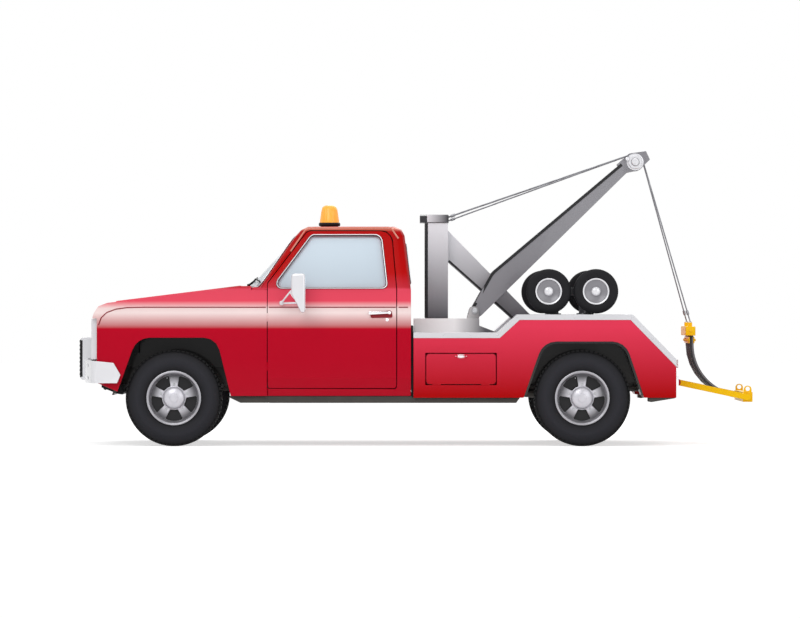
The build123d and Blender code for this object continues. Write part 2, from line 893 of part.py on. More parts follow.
def grille():
    """Bright surround with a crossed-bar grille between the headlamps."""
    back, front = fender_front - seat_gap, -674
    low, high, half, rim = 712, hood_low - 2, grille_half, 36
    post = half - 340
    frame_ring = block(front, back, -half, half, low, high)
    frame_ring -= block(front - 10, back + 10, -half + rim, half - rim, low + rim, high - rim)
    for y in (-post, 0, post):
        frame_ring += block(front + 4, back, y - 12, y + 12, low + rim - 2, high - rim + 2)
    for z in (820, 940):
        frame_ring += block(front + 14, back - 8, 5 - post, post - 5, z - 7, z + 7)
    return frame_ring


def lamps():
    """Headlamps with park lamps below them, and the tail lamps."""
    low, high, back = 748, hood_low - 42, fender_front - seat_gap
    pieces = []
    for z0, z1 in ((842, high - 4), (low + 4, 832)):
        pieces += both(block(-662, back, grille_half - 321, grille_half - 47, z0, z1))
    near, far, inner, outer = bed_rear + seat_gap, bed_rear + 22, body_half - 220, body_half - 60
    pieces += both(plan_plate([(near, inner), (far, inner + 10), (far, outer - 10), (near, outer)], 480, 640))
    return pieces


def radiator_support():
    back = fender_front + seat_gap
    reach = body_half - panel_thick - seat_gap
    panel = block(-600, -560, -600, 600, rail_high + 4, 1090) + block(-598, -562, -reach, reach, 900, 1000)
    for y in (-600, 600):
        panel += block(back, -590, y - 40, y + 40, 760, 890)
    for y in (-360, 360):
        panel += block(-595, -565, y - 20, y + 20, rail_high + seat_gap, rail_high + 40)
    return panel


def front_bumper():
    side = side_plate(
        [(-734, 517, 10), (-734, 708, 14), (-487, 683, 10), (-430, 585, 14), (-458, 517, 10)],
        -body_half - 100,
        body_half + 100,
    )
    bend, end = body_half - 200, body_half + 45
    right = [(-734, bend, 60), (-665, end, 60), (-400, end)]
    outer = right + [(x, -y, *turn) for x, y, *turn in reversed(right)]
    bend, end = bend - 10, end - 35
    right = [(-696, bend, 40), (-640, end, 40), (-300, end)]
    inner = right + [(x, -y, *turn) for x, y, *turn in reversed(right)]
    shell = (plan_plate(outer, 400, 800) - plan_plate(inner, 390, 810)) & side
    for y in (-(frame_half - 30), frame_half - 30):
        shell += block(-700, frame_nose - seat_gap, y - 30, y + 30, 540, 620)
    return shell


def push_guards():
    """Two uprights with rubber noses and the tube that ties them."""
    half, foot = frame_half - 100, -734 - seat_gap
    side = [(guard_front, 536, 16), (guard_front, 886, 16), (-698, 886, 16), (-698, 714)]
    side += [(foot, 714), (foot, 536)]
    uprights = both(side_plate(side, half - 32, half + 32))
    return uprights[0] + uprights[1] + cross_pin(-745, 838, 22, -half, half)


def beacon():
    x = 1260
    foot = cab_levels[-1][0] + seat_gap
    dome = [(0, 0), (68, 0), (68, 18), (90, 18), (90, 40), (66, 176), (52, 190), (0, 190)]
    return turned(dome, Plane(origin=(x, 0, foot)), 16)


# Wrecker body


cap_path = [(bed_front, low_cap), (step_front, low_cap), (step_rear, high_cap)]
cap_path += [(slope_front, high_cap), (bed_rear, slope_foot)]


def bed_side():
    """The right side box: wheel arch, toolbox cavity and stepped top."""
    top = offset_path(cap_path, -cap_thick)
    top[0] = (bed_front, low_cap - cap_thick)
    top[-1] = (bed_rear, slope_foot - cap_thick * 1.4)
    box = side_plate([(bed_front, bed_low), *top, (bed_rear, bed_low)], box_inner, body_half)
    box -= side_plate(rear_arch, box_inner - 10, body_half + 10)
    inner = body_half - toolbox_deep
    box -= block(toolbox_front, toolbox_rear, inner, body_half + 10, toolbox_low, toolbox_high)
    return hinged(box, toolbox_hinges(), False)


def deck_plates():
    """Light-alloy covers: one folded cap on each side box, and the deck between them."""
    under = offset_path(cap_path, -cap_thick)
    under[0] = (bed_front, low_cap - cap_thick)
    under[-1] = (bed_rear, slope_foot - cap_thick * 1.4)
    cap = side_plate(cap_path + list(reversed(under)), box_inner, body_half)
    deck_end = slope_front + (high_cap - deck_high) * (bed_rear - slope_front) / (high_cap - slope_foot) - 30
    half = box_inner - seat_gap
    deck = block(bed_front, deck_end, -half, half, deck_high - deck_thick, deck_high)
    return both(cap) + [deck]


def bed_frame():
    """Cross bearers that carry the deck on the rails."""
    first, third = bed_front + 40, wheelbase - 440
    half = box_inner - seat_gap
    stations = (first, (first + third) / 2, third, wheelbase + 460)
    return [block(x - 30, x + 30, -half, half, rail_high, deck_high - deck_thick) for x in stations]


def tail_panel():
    """Sloping tail with its clevis brackets for the sling struts."""
    half = box_inner - seat_gap
    slope = (high_cap - slope_foot) / (bed_rear - slope_front)
    top_x = slope_front + (high_cap - deck_high) / slope - 30
    panel = side_plate(
        [
            (top_x, deck_high),
            (top_x + 30, deck_high),
            (bed_rear, slope_foot),
            (bed_rear, bed_low),
            (bed_rear - tail_thick, bed_low),
            (bed_rear - tail_thick, slope_foot - 10),
            (top_x, deck_high - 35),
        ],
        -half,
        half,
    )
    (px, pz), root = strut_pivot, bed_rear - 2
    for y in (-strut_half, strut_half):
        for side in (-1, 1):
            inner = y + side * (strut_thick / 2 + clevis_gap)
            outer = inner + side * clevis_thick
            ear = side_plate(
                [(root, pz - 32), (px + 27, pz - 27, 20), (px + 27, pz + 27, 20), (root, pz + 32)],
                min(inner, outer),
                max(inner, outer),
            )
            panel += ear
        reach = strut_thick / 2 + clevis_gap + clevis_thick
        panel += cross_pin(px, pz, strut_pin_radius - pin_gap, y - reach, y + reach)
    for y in (-frame_half + 30, frame_half - 30):
        panel += block(frame_tail + seat_gap, bed_rear - tail_thick + 1, y - 25, y + 25, 520, 600)
    return panel


def toolbox_door():
    g = panel_gap
    panel = side_plate(
        [
            (toolbox_front + g, toolbox_low + g, 30),
            (toolbox_front + g, toolbox_high - g, 30),
            (toolbox_rear - g, toolbox_high - g, 30),
            (toolbox_rear - g, toolbox_low + g, 30),
        ],
        body_half - toolbox_door_thick,
        body_half,
    )
    middle = (toolbox_front + toolbox_rear) / 2
    high = toolbox_high - 17
    latch = block(middle - 41, middle + 41, body_half - 1, body_half + 14, high - 20, high)
    return hinged(panel, toolbox_hinges(), True) + latch


# Mast, boom and lines


def pedestal():
    """Mast base with a toe at the back and the four ears of the boom pivot."""
    base = side_plate(
        [
            (pedestal_front, deck_high + seat_gap),
            (pedestal_front, pedestal_high),
            (pedestal_rear, pedestal_high, 12),
            (pedestal_rear, (deck_high + pedestal_high) / 2),
            (pedestal_rear + toe_long, deck_high + 8),
            (pedestal_rear + toe_long, deck_high + seat_gap),
        ],
        -pedestal_half,
        pedestal_half,
    )
    px, pz = boom_pivot
    foot = pedestal_high - 2
    ear_side = [(px - 60, foot), (px - 34, pz + 34, 30), (px + 34, pz + 34, 30), (pedestal_rear, foot)]
    for side in (-1, 1):
        for near in (leg_base_inner - 26, leg_base_inner + leg_thick + 8):
            ear = side_plate(ear_side, near, near + 18)
            base += ear if side > 0 else left_of(ear)
        reach = leg_base_inner + leg_thick + 32
        pin = cross_pin(px, pz, boom_pin_radius - pin_gap, leg_base_inner - 30, reach)
        base += pin if side > 0 else left_of(pin)
    return base


def mast():
    """Hollow plate column with its diagonal stay down to the deck."""
    column = block(mast_front, mast_rear, -mast_half, mast_half, pedestal_high + seat_gap, mast_high)
    half = mast_half - mast_wall
    low, high = pedestal_high + mast_wall, mast_high - mast_wall
    column -= block(mast_front + mast_wall, mast_rear - mast_wall, -half, half, low, high)
    x, foot = mast_rear, deck_high + seat_gap
    under = [(x - 4, mast_high - 326), (x + 510, 1061), (x + 662, foot)]
    upper = [(x + 835, foot), (x + 531, 1239), (x - 4, mast_high - 59)]
    return column + side_plate(under + upper, -stay_half, stay_half)


def mast_head():
    low = mast_high + seat_gap
    cap = front_plate(
        [
            (-mast_half - 14, low),
            (mast_half + 14, low),
            (mast_half + 14, low + head_high - 12, 8),
            (60, low + head_high),
            (-60, low + head_high),
            (-mast_half - 14, low + head_high - 12, 8),
        ],
        head_front,
        mast_rear + head_over,
    )
    for y in (-line_half, line_half):
        cap -= block(mast_rear - 70, mast_rear + 20, y - 14, y + 14, low - 1, low + head_high - 22)
    return cap


def by_pivot(dx, dz, *bend):
    """A corner of the boom, so far from its pivot."""
    return (boom_pivot[0] + dx, boom_pivot[1] + dz, *bend)


def by_sheave(dx, dz):
    """A corner of the boom, so far from the middle of its sheaves."""
    return (sheave_centre[0] + dx, sheave_centre[1] + dz)


leg_side = [by_pivot(-58, -48, 45), by_pivot(42, -56, 45)]
leg_side += [by_sheave(-38, -60), by_sheave(-113, -8), by_pivot(141, 317, 200)]
head_side = ((-150, -20), (-51, 71), (91, 91), (124, 20), (36, -67), (-68, -89))
head_plate = [by_sheave(dx, dz) for dx, dz in head_side]
pendant_pin = by_sheave(-65, 25)


def boom():
    """Two tapered legs that close to the head plates, with cross tubes and the head pins."""
    px, pz = boom_pivot
    sx, sz = sheave_centre
    start, bend, head, end = px - 170, px + 50, sx - 113, sx + 187
    tip_outer, base_outer = leg_tip_inner + leg_tip_thick, leg_base_inner + leg_thick
    plan = [(start, leg_base_inner), (bend, leg_base_inner), (head, leg_tip_inner), (end, leg_tip_inner)]
    plan += [(end, tip_outer), (head, tip_outer), (bend, base_outer), (start, base_outer)]
    leg = (side_plate(leg_side, 0, 400) + side_plate(head_plate, 0, 400)) & plan_plate(plan, 900, 2600)
    leg -= cross_hole(px, pz, boom_pin_radius, 0, 400)
    leg += cross_pin(sx, sz, 60, leg_tip_inner + 5, leg_tip_inner + leg_tip_thick + 10)
    leg += cross_pin(sx, sz, 32, leg_tip_inner + 5, leg_tip_inner + leg_tip_thick + 22)
    leg += cross_pin(*pendant_pin, 14, leg_tip_inner + 5, pendant_half + 12)
    whole = leg + left_of(leg)
    whole += cross_pin(sx, sz, 18 - pin_gap, -leg_tip_inner - 5, leg_tip_inner + 5)
    for share, over in ((0.588, 45), (0.365, 27)):
        reach = leg_base_inner + 10 + (leg_tip_inner - leg_base_inner) * share
        x, z = px + (sx - px) * share, pz + (sz - pz) * share + over
        whole += cross_pin(x, z, 26, -reach, reach)
    return whole


def boom_sheaves():
    sx, sz = sheave_centre
    half = sheave_thick / 2
    bore = 18 / math.cos(math.pi / 20)
    profile = [
        (bore, -half),
        (sheave_radius, -half),
        (sheave_radius - sheave_groove, 0),
        (sheave_radius, half),
        (bore, half),
    ]
    return [ring(profile, sx, y, sz, 20) for y in (-line_half, line_half)]


def line_track():
    """How far from a sheave's axis a line's middle lies, resting on both flanks of the groove."""
    half = sheave_thick / 2
    reach = line_radius * math.cos(math.pi / sides_of(line_radius)) + 2 * seat_gap
    return sheave_radius - sheave_groove + reach * math.hypot(sheave_groove, half) / half


def boom_lines():
    """The boom's own pair of lines, and the hoist lines' upper run, from mast head to boom head."""
    sx, sz = sheave_centre
    track = line_track()
    x0 = mast_rear + head_over + seat_gap + line_radius / 3
    run = Vector(sx - x0, sz + track - 1862)
    lean = math.atan2(run.Y, run.X)
    touch = (sx - track * math.sin(lean), sz + track * math.cos(lean))
    own = both(rod((x0, line_half, 1862), (touch[0], line_half, touch[1]), line_radius))
    pin_x, pin_z = pendant_pin[0], pendant_pin[1] + 14 + 2 * line_radius
    return own + both(rod((x0, pendant_half, 1893), (pin_x, pendant_half, pin_z), line_radius))


def hoist_drop():
    """Where each hoist line leaves its sheave and where it meets the sling's top bar."""
    sx, sz = sheave_centre
    bx, eye = top_bar_centre[0], top_bar_centre[1] + top_bar_tall / 2 + line_eye_high
    bz = eye + seat_gap + line_radius / 3
    track = line_track()
    reach = math.hypot(bx - sx, bz - sz)
    lean = math.atan2(bx - sx, sz - bz) - math.asin(track / reach)
    return (sx + track * math.cos(lean), sz + track * math.sin(lean)), (bx, bz)


def hoist_lines():
    (tx, tz), (bx, bz) = hoist_drop()
    return both(rod((tx, line_half, tz), (bx, sling_line_half, bz), line_radius))


def sling_bars():
    """Top bar with the two line eyes, and the low bar that meets the towed car."""
    cx, cz = top_bar_centre
    wide, tall = top_bar_wide / 2, top_bar_tall / 2
    top = block(cx - wide, cx + wide, -top_bar_half, top_bar_half, cz - tall, cz + tall)
    for y in (-sling_line_half, sling_line_half):
        top += block(cx - 18, cx + 18, y - 14, y + 14, cz + tall - 1, cz + tall + line_eye_high)
    rear, high = low_bar_front + low_bar_deep, low_bar_low + low_bar_tall
    return [top, block(low_bar_front, rear, -low_bar_half, low_bar_half, low_bar_low, high)]


def sling_belts():
    """Four rubber belts that hang from the top bar and curve back to the low bar."""
    cx = top_bar_centre[0] + 10
    start = top_bar_centre[1] - top_bar_tall / 2 - seat_gap
    bend_z = low_bar_low + low_bar_tall / 2 + belt_radius
    pieces = []
    middle_x = cx + belt_radius
    rear = low_bar_front - seat_gap
    path = []
    for radius, turn in ((belt_radius + belt_thick / 2, 1), (belt_radius - belt_thick / 2, -1)):
        edge = [(middle_x - radius, start)]
        for i in range(belt_flats + 1):
            angle = math.pi / 2 * i / belt_flats
            edge.append((middle_x - radius * math.cos(angle), bend_z - radius * math.sin(angle)))
        edge = [(x, z) for x, z in edge if x < rear]
        edge.append((rear, bend_z - math.sqrt(radius**2 - (rear - middle_x) ** 2)))
        path += edge[::turn]
    for i in range(belt_count):
        y0 = (i - (belt_count - 1) / 2) * belt_pitch - belt_wide / 2
        pieces.append(side_plate(path, y0, y0 + belt_wide))
    return pieces


def sling_struts():
    """Two flat struts that hold the low bar off the tail, one past each end of the bar."""
    px, pz = strut_pivot
    ex, ez = low_bar_front + low_bar_deep / 2, low_bar_low + low_bar_tall / 2
    inner, outer = strut_half - strut_thick / 2, strut_half + strut_thick / 2
    side = [(px, pz + 24), (px, pz - 24), (ex - 6, ez - 26, 20), (ex + 24, ez - 20, 16)]
    strut = side_plate(side + [(ex + 24, ez + 20, 16), (ex - 6, ez + 26, 20)], inner, outer)
    strut += cross_pin(px, pz, strut_eye, inner, outer)
    strut -= cross_hole(px, pz, strut_pin_radius, strut_half - strut_thick, strut_half + strut_thick)
    return both(strut)


def chain_lugs():
    x = low_bar_front + low_bar_deep / 2
    z = low_bar_low + low_bar_tall + seat_gap
    y1 = low_bar_half - 6
    side = [(x - 32, z), (x - 32, z + 52, 26), (x + 32, z + 52, 26), (x + 32, z)]
    lug = side_plate(side, y1 - lug_thick, y1)
    lug -= Pos(x, y1, z + 26) * Rot(90, 0, 0) * Cylinder(lug_hole_radius, 4 * lug_thick)
    return both(lug)


# Stowed dollies


def dolly_wheels():
    """Each wheel's tyre and dished disc, by place, stub axles towards the truck's middle."""
    half = dolly_width / 2
    profile = [
        (dolly_rim + seat_gap, -half + 8),
        (dolly_radius - 33, -half),
        (dolly_radius, -half + 16),
        (dolly_radius, half - 16),
        (dolly_radius - 33, half),
        (dolly_rim + seat_gap, half - 8),
    ]
    bore = (dolly_axle + pin_gap) / math.cos(math.pi / dolly_flats)
    disc_profile = [
        (bore, 4 - half),
        (dolly_rim, 4 - half),
        (dolly_rim, half - 8),
        (44, 6),
        (34, 30),
        (0, 30),
        (0, 20),
        (bore, 20),
    ]
    wheels = {}
    for place, x in zip(("front", "rear"), dolly_stations):
        pair = [ring(turned_by, x, dolly_half, dolly_high, dolly_flats) for turned_by in (profile, disc_profile)]
        wheels[place + "_right"] = pair
        wheels[place + "_left"] = [left_of(piece) for piece in pair]
    return wheels


def dolly_frames():
    front, rear = dolly_stations
    inner = dolly_half - dolly_width / 2 + 4
    middle = dolly_half - 130
    beam = block(front - 60, rear + 60, middle - 25, middle + 25, dolly_high - 30, dolly_high + 30)
    for x in dolly_stations:
        beam += cross_pin(x, dolly_high, 24, middle + 15, inner - panel_gap)
        beam += cross_pin(x, dolly_high, dolly_axle, middle + 15, dolly_half + 18)
    for x in (front + 60, rear - 60):
        beam += block(x - 25, x + 25, middle - 20, middle + 20, high_cap + seat_gap, dolly_high - 29)
        beam += block(x - 45, x + 45, middle - 45, middle + 45, high_cap + seat_gap, high_cap + 10)
    return both(beam)


def main():
    os.makedirs("parts", exist_ok=True)
    road_wheels()
    save("frame", frame(), *outriggers(), *bed_frame())
    save("front_axle", front_axle())
    save("rear_axle", rear_axle())
    save("knuckle_right", knuckle())
    save("knuckle_left", left_of(knuckle()))
    save("tie_rod", tie_rod())
    save("driveline", driveline())
    save("engine", engine())
    save("exhaust", exhaust())
    save("fuel_tank", fuel_tank())
    save("cab_shell", cab_shell())
    save("cab_glass", *cab_glass())
    right_door, right_glass = door(), door_glass()
    save("door_right", right_door)
    save("door_left", left_of(right_door))
    save("door_glass_right", right_glass)
    save("door_glass_left", left_of(right_glass))
    save("mirror_and_handle_right", *mirror_and_handle())
    save("mirror_and_handle_left", *[left_of(p) for p in mirror_and_handle()])
    save("bench_seat", bench_seat())
    save("dashboard", dashboard())
    save("steering_wheel", steering_wheel())
    save("fenders", *both(fender()))
    save("hood", hood())
    front_liner, rear_liner = wheel_liners()
    save("inner_panels", *both(front_liner), radiator_support())
    save("rear_liner_right", rear_liner)
    save("rear_liner_left", left_of(rear_liner))
    save("grille", grille())
    save("lamps", *lamps())
    save("front_bumper", front_bumper())
    save("push_guards", push_guards())
    save("beacon", beacon())
    save("bed_sides", *both(bed_side()))
    save("deck_plates", *deck_plates())
    save("tail_panel", tail_panel())
    save("toolbox_door_right", toolbox_door())
    save("toolbox_door_left", left_of(toolbox_door()))
    save("pedestal", pedestal())
    save("mast", mast())
    save("mast_head", mast_head())
    save("boom", boom(), *boom_sheaves())
    save("boom_lines", *boom_lines())
    save("hoist_lines", *hoist_lines())
    save("sling_bars", *sling_bars())
    save("sling_belts", *sling_belts())
    save("sling_struts", *sling_struts())
    save("chain_lugs", *chain_lugs())
    for place, pair in dolly_wheels().items():
        save("dolly_wheel_" + place, *pair)
    save("dolly_frames", *dolly_frames())


main()
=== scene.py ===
# Dresses the tow truck: paint, rubber, glass and chrome, and the pieces that are too fine for its solids.
# Metres, but where mm() takes millimetres. The nose points to -X, the left side to -Y and up is +Z. Places
# along the truck are measured back from the front axle, as at(x, y, z), and the sizes of larger pieces come
# from the boxes of the solids.
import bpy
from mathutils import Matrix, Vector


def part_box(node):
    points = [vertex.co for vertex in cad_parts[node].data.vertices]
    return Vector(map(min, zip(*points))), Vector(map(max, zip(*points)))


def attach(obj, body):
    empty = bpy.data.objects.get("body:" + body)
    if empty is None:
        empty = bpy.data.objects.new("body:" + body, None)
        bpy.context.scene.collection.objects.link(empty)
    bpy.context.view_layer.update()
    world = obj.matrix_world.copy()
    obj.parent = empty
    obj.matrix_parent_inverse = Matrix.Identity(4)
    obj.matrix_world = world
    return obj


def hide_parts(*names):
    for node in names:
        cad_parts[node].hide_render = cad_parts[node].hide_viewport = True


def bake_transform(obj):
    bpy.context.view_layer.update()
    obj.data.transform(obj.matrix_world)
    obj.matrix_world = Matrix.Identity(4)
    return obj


bl_info = {
    "name": "Tow truck dressing",
    "version": (1, 0, 0),
    "blender": (4, 5, 0),
    "location": "3D View > Sidebar > Tow Truck",
    "description": "Builds the finishes and fine pieces of a side-box tow truck round its solid model",
    "category": "Object",
}

from math import acos, asin, atan2, cos, exp, hypot, pi, radians, sin, tan, tau

import bmesh
import bpy
from bpy.props import FloatProperty, FloatVectorProperty, IntProperty, PointerProperty
from bpy.types import Operator, Panel, PropertyGroup
from mathutils import Matrix, Vector
from mathutils.bvhtree import BVHTree
from mathutils.geometry import delaunay_2d_cdt

shifted = Matrix.Translation

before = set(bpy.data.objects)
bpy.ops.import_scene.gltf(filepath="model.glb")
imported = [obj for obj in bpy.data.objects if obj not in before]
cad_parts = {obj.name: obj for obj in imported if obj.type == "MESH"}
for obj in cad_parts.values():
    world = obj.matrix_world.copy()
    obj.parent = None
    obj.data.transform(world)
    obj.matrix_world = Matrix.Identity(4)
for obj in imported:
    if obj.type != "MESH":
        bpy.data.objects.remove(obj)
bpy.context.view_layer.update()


def middle_of(node):
    low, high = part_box(node)
    return (low + high) / 2


front_axle = middle_of("tyre_front_left").x
axle_high = middle_of("tyre_front_left").z
wheelbase = middle_of("tyre_rear_left").x - front_axle
body_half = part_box("door_right")[1].y


def at(x, y, z):
    """A place measured back from the front axle, out from the centre line and up from the ground."""
    return Vector((front_axle + x, y, z))


def linear(channel):
    return channel / 12.92 if channel <= 0.04045 else ((channel + 0.055) / 1.055) ** 2.4


def tone(code):
    """A linear colour from six hexadecimal digits."""
    return tuple(linear(int(code[i : i + 2], 16) / 255) for i in (0, 2, 4))


# Settings that a user would change


def colour_setting(name, description, code):
    return FloatVectorProperty(
        name=name, description=description, default=tone(code), subtype="COLOR", size=3, min=0.0, max=1.0
    )


class TruckColours(PropertyGroup):
    """The colours of the truck's finishes."""

    red_deep: colour_setting("Deep red", "Lower body and doors", "BA0022")
    # Bright red above the crease is painted sky reflection, and the crease band is a painted highlight
    red_painted_sheen: colour_setting("Bright red", "Body above the crease", "E5485E")
    red_crease_highlight: colour_setting("Crease highlight", "Pale band where the shoulder catches the sky", "FBE6E4")
    # The bed's two reds paint shade: deep at the sill and lighter towards the cap
    bed_red_lit_top: colour_setting("Bed red, top", "Wrecker body under its cap", "E83C58")
    bed_red_shaded_foot: colour_setting("Bed red, foot", "Wrecker body at its sill", "B20004")
    roof_red: colour_setting("Roof red", "Pillars and roof edge", "B00000")
    cap_grey: colour_setting("Cap grey", "Light covers of the side boxes", "DADADE")
    # The mast's two greys paint shade: dark at the foot and pale at the head
    mast_lit_top: colour_setting("Mast top", "Grey at the head of the mast", "EAE9EE")
    mast_shaded_foot: colour_setting("Mast foot", "Grey at the foot of the mast", "4A494F")
    boom_grey: colour_setting("Boom grey", "Boom legs", "858489")
    sling_yellow: colour_setting("Sling yellow", "Bars and struts of the sling", "FFC808")
    glass_tint: colour_setting("Glass tint", "Windows", "CBD9E4")
    amber: colour_setting("Beacon amber", "Lens of the beacon", "FDB93C")
    tyre_black: colour_setting("Tyre black", "Rubber of the road tyres", "151519")
    rim_silver: colour_setting("Rim silver", "Spokes and hubs", "D2D1D8")


def size_setting(name, description, default, least=0.0):
    return FloatProperty(name=name, description=description, default=default, min=least, unit="LENGTH")


class TruckSizes(PropertyGroup):
    """Sizes of the fine pieces."""

    edge_ease: size_setting("Edge ease", "Rounding of plate edges", 0.003)
    tread_pitches: IntProperty(name="Tread pitches", description="Blocks round a tyre", default=64, min=12)
    tread_deep: size_setting("Tread depth", "Depth of the tread grooves", 0.009)
    rope_strands: IntProperty(name="Rope strands", description="Strands in a line", default=6, min=3)
    rope_pitch: size_setting("Rope pitch", "Length in which a strand turns once", 0.075, 0.01)
    bolt_radius: size_setting("Bolt radius", "Half the width of a bolt head", 0.011, 0.002)


def colours():
    return bpy.context.scene.tow_truck_colours


def sizes():
    return bpy.context.scene.tow_truck_sizes


# Parts of meshes


def mm(*corners):
    """Corners given in millimetres, in metres."""
    return [tuple(v / 1000 for v in corner) for corner in corners]


def merged(form, part, place=None):
    """Adds a part to a form, moved by place, and frees the part."""
    if place is not None:
        part.transform(place)
    mesh = bpy.data.meshes.new("part")
    part.to_mesh(mesh)
    part.free()
    form.from_mesh(mesh)
    bpy.data.meshes.remove(mesh)


def moved(part, place):
    part.transform(place)
    return part


def joined(*parts):
    form = bmesh.new()
    for part in parts:
        merged(form, part)
    return form


def along(start, end):
    """The placement whose Z axis runs from start towards end."""
    direction = Vector(end) - Vector(start)
    return shifted(start) @ direction.to_track_quat("Z", "Y").to_matrix().to_4x4()


def outward(place):
    """The placement at a point whose Z axis looks out along Y."""
    return shifted(place) @ Matrix.Rotation(-pi / 2, 4, "X")


def block(low, high, ease=0.0, segments=2):
    part = bmesh.new()
    size = Vector(high) - Vector(low)
    middle = (Vector(high) + Vector(low)) / 2
    bmesh.ops.create_cube(part, size=1, matrix=shifted(middle) @ Matrix.Diagonal((*size, 1)))
    if ease:
        reach = min(ease, min(size) * 0.45)
        bmesh.ops.bevel(
            part, geom=part.edges[:], offset=reach, segments=segments, profile=0.5, affect="EDGES"
        )
    return part


def circle(count, radius=1.0, a=0.0, b=0.0, high=None):
    """Corners of a circle about (a, b), or of an oval where its half height is given."""
    high = radius if high is None else high
    return [(a + radius * cos(tau * i / count), b + high * sin(tau * i / count)) for i in range(count)]


def turned(profile, sides=48):
    """A piece turned about Z from (radius, height) corners."""
    part = bmesh.new()
    rings = [[part.verts.new((r * x, r * y, h)) for r, h in profile] for x, y in circle(sides)]
    count = len(profile)
    for ring, following in zip(rings, rings[1:] + rings[:1]):
        for j in range(count):
            k = (j + 1) % count
            part.faces.new((ring[j], following[j], following[k], ring[k]))
    bmesh.ops.remove_doubles(part, verts=part.verts[:], dist=1e-6)
    bmesh.ops.recalc_face_normals(part, faces=part.faces[:])
    return part


def bar_part(start, end, radius, sides=16, ease=0.001):
    """A round bar between two points with eased ends."""
    long = (Vector(end) - Vector(start)).length
    foot = [(0, 0), (radius - ease, 0), (radius, ease)]
    part = turned(foot + [(r, long - h) for r, h in reversed(foot)], sides)
    return moved(part, along(start, end))


def loft(rings, caps=True):
    """A skin through rings of matching points, with flat ends."""
    part = bmesh.new()
    made = [[part.verts.new(point) for point in ring] for ring in rings]
    count = len(made[0])
    for low, high in zip(made, made[1:]):
        for i in range(count):
            k = (i + 1) % count
            part.faces.new((low[i], low[k], high[k], high[i]))
    if caps:
        part.faces.new(made[0][::-1])
        part.faces.new(made[-1])
    bmesh.ops.recalc_face_normals(part, faces=part.faces[:])
    return part


def path_frames(path, cyclic=False):
    """For each point of a path: the point and two directions across it, carried along without twist."""
    points = [Vector(p) for p in path]
    count = len(points)
    frames = []
    across = None
    for i, point in enumerate(points):
        ahead = points[(i + 1) % count] if cyclic or i + 1 < count else point
        back = points[i - 1] if cyclic or i else point
        direction = (ahead - back).normalized()
        if across is None:
            guide = Vector((0, 0, 1)) if abs(direction.z) < 0.9 else Vector((1, 0, 0))
            across = direction.cross(guide)
        across = (across - direction * across.dot(direction)).normalized()
        frames.append((point, across, direction.cross(across)))
    return frames


def tube(path, radius, sides=10, cyclic=False, squash=1.0):
    """A tube along a path; squash flattens it across its second direction."""
    round_it = circle(sides, radius, high=radius * squash)
    rings = [[point + a * u + b * v for u, v in round_it] for point, a, b in path_frames(path, cyclic)]
    if cyclic:
        part = loft(rings + [rings[0]], caps=False)
        bmesh.ops.remove_doubles(part, verts=part.verts[:], dist=1e-6)
        return part
    return loft(rings)


def bolt(radius, washer=1.35):
    """A hexagon head on its washer, standing on Z."""
    low, high = radius * 0.25, radius * 0.9
    part = turned([(0, 0), (radius * washer, 0), (radius * washer, low), (0, low)], 16)
    head = turned([(0, 0), (radius, 0), (radius, radius * 0.75), (radius * 0.86, high), (0, high)], 6)
    merged(part, head, shifted((0, 0, low)))
    return part


def rounded(corners, steps=5):
    """The corners as plain 2-D points, each (a, b, radius) one turned into an arc of short flats."""
    points = []
    for i, corner in enumerate(corners):
        here = Vector(corner[:2])
        if len(corner) < 3:
            points.append(here)
            continue
        back = (Vector(corners[i - 1][:2]) - here).normalized()
        ahead = (Vector(corners[(i + 1) % len(corners)][:2]) - here).normalized()
        half = acos(max(-1.0, min(1.0, back.dot(ahead)))) / 2
        centre = here + (back + ahead).normalized() * (corner[2] / sin(half))
        first = here + back * (corner[2] / tan(half)) - centre
        turn = pi - 2 * half
        if back.x * ahead.y - back.y * ahead.x > 0:
            turn = -turn
        for step in range(steps + 1):
            points.append(centre + Matrix.Rotation(turn * step / steps, 2) @ first)
    return points


def inset_loop(loop, away):
    """A closed 2-D loop moved to its left by away, with mitred corners."""
    made = []
    for i, here in enumerate(loop):
        back = (here - loop[i - 1]).normalized()
        ahead = (loop[(i + 1) % len(loop)] - here).normalized()
        normal = Vector((-back.y - ahead.y, back.x + ahead.x))
        scale = 2 / max(normal.length_squared, 0.4)
        made.append(here + normal * (away * scale))
    return made


def loop_area(loop):
    return sum(a.x * b.y - b.x * a.y for a, b in zip(loop, loop[1:] + loop[:1])) / 2


def within(point, loop):
    crossings = 0
    for a, b in zip(loop, loop[1:] + loop[:1]):
        if (a.y > point.y) != (b.y > point.y) and point.x < a.x + (b.x - a.x) * (point.y - a.y) / (b.y - a.y):
            crossings += 1
    return crossings % 2 == 1


RIM_STEPS = 3  # flats round a plate's rolled edge


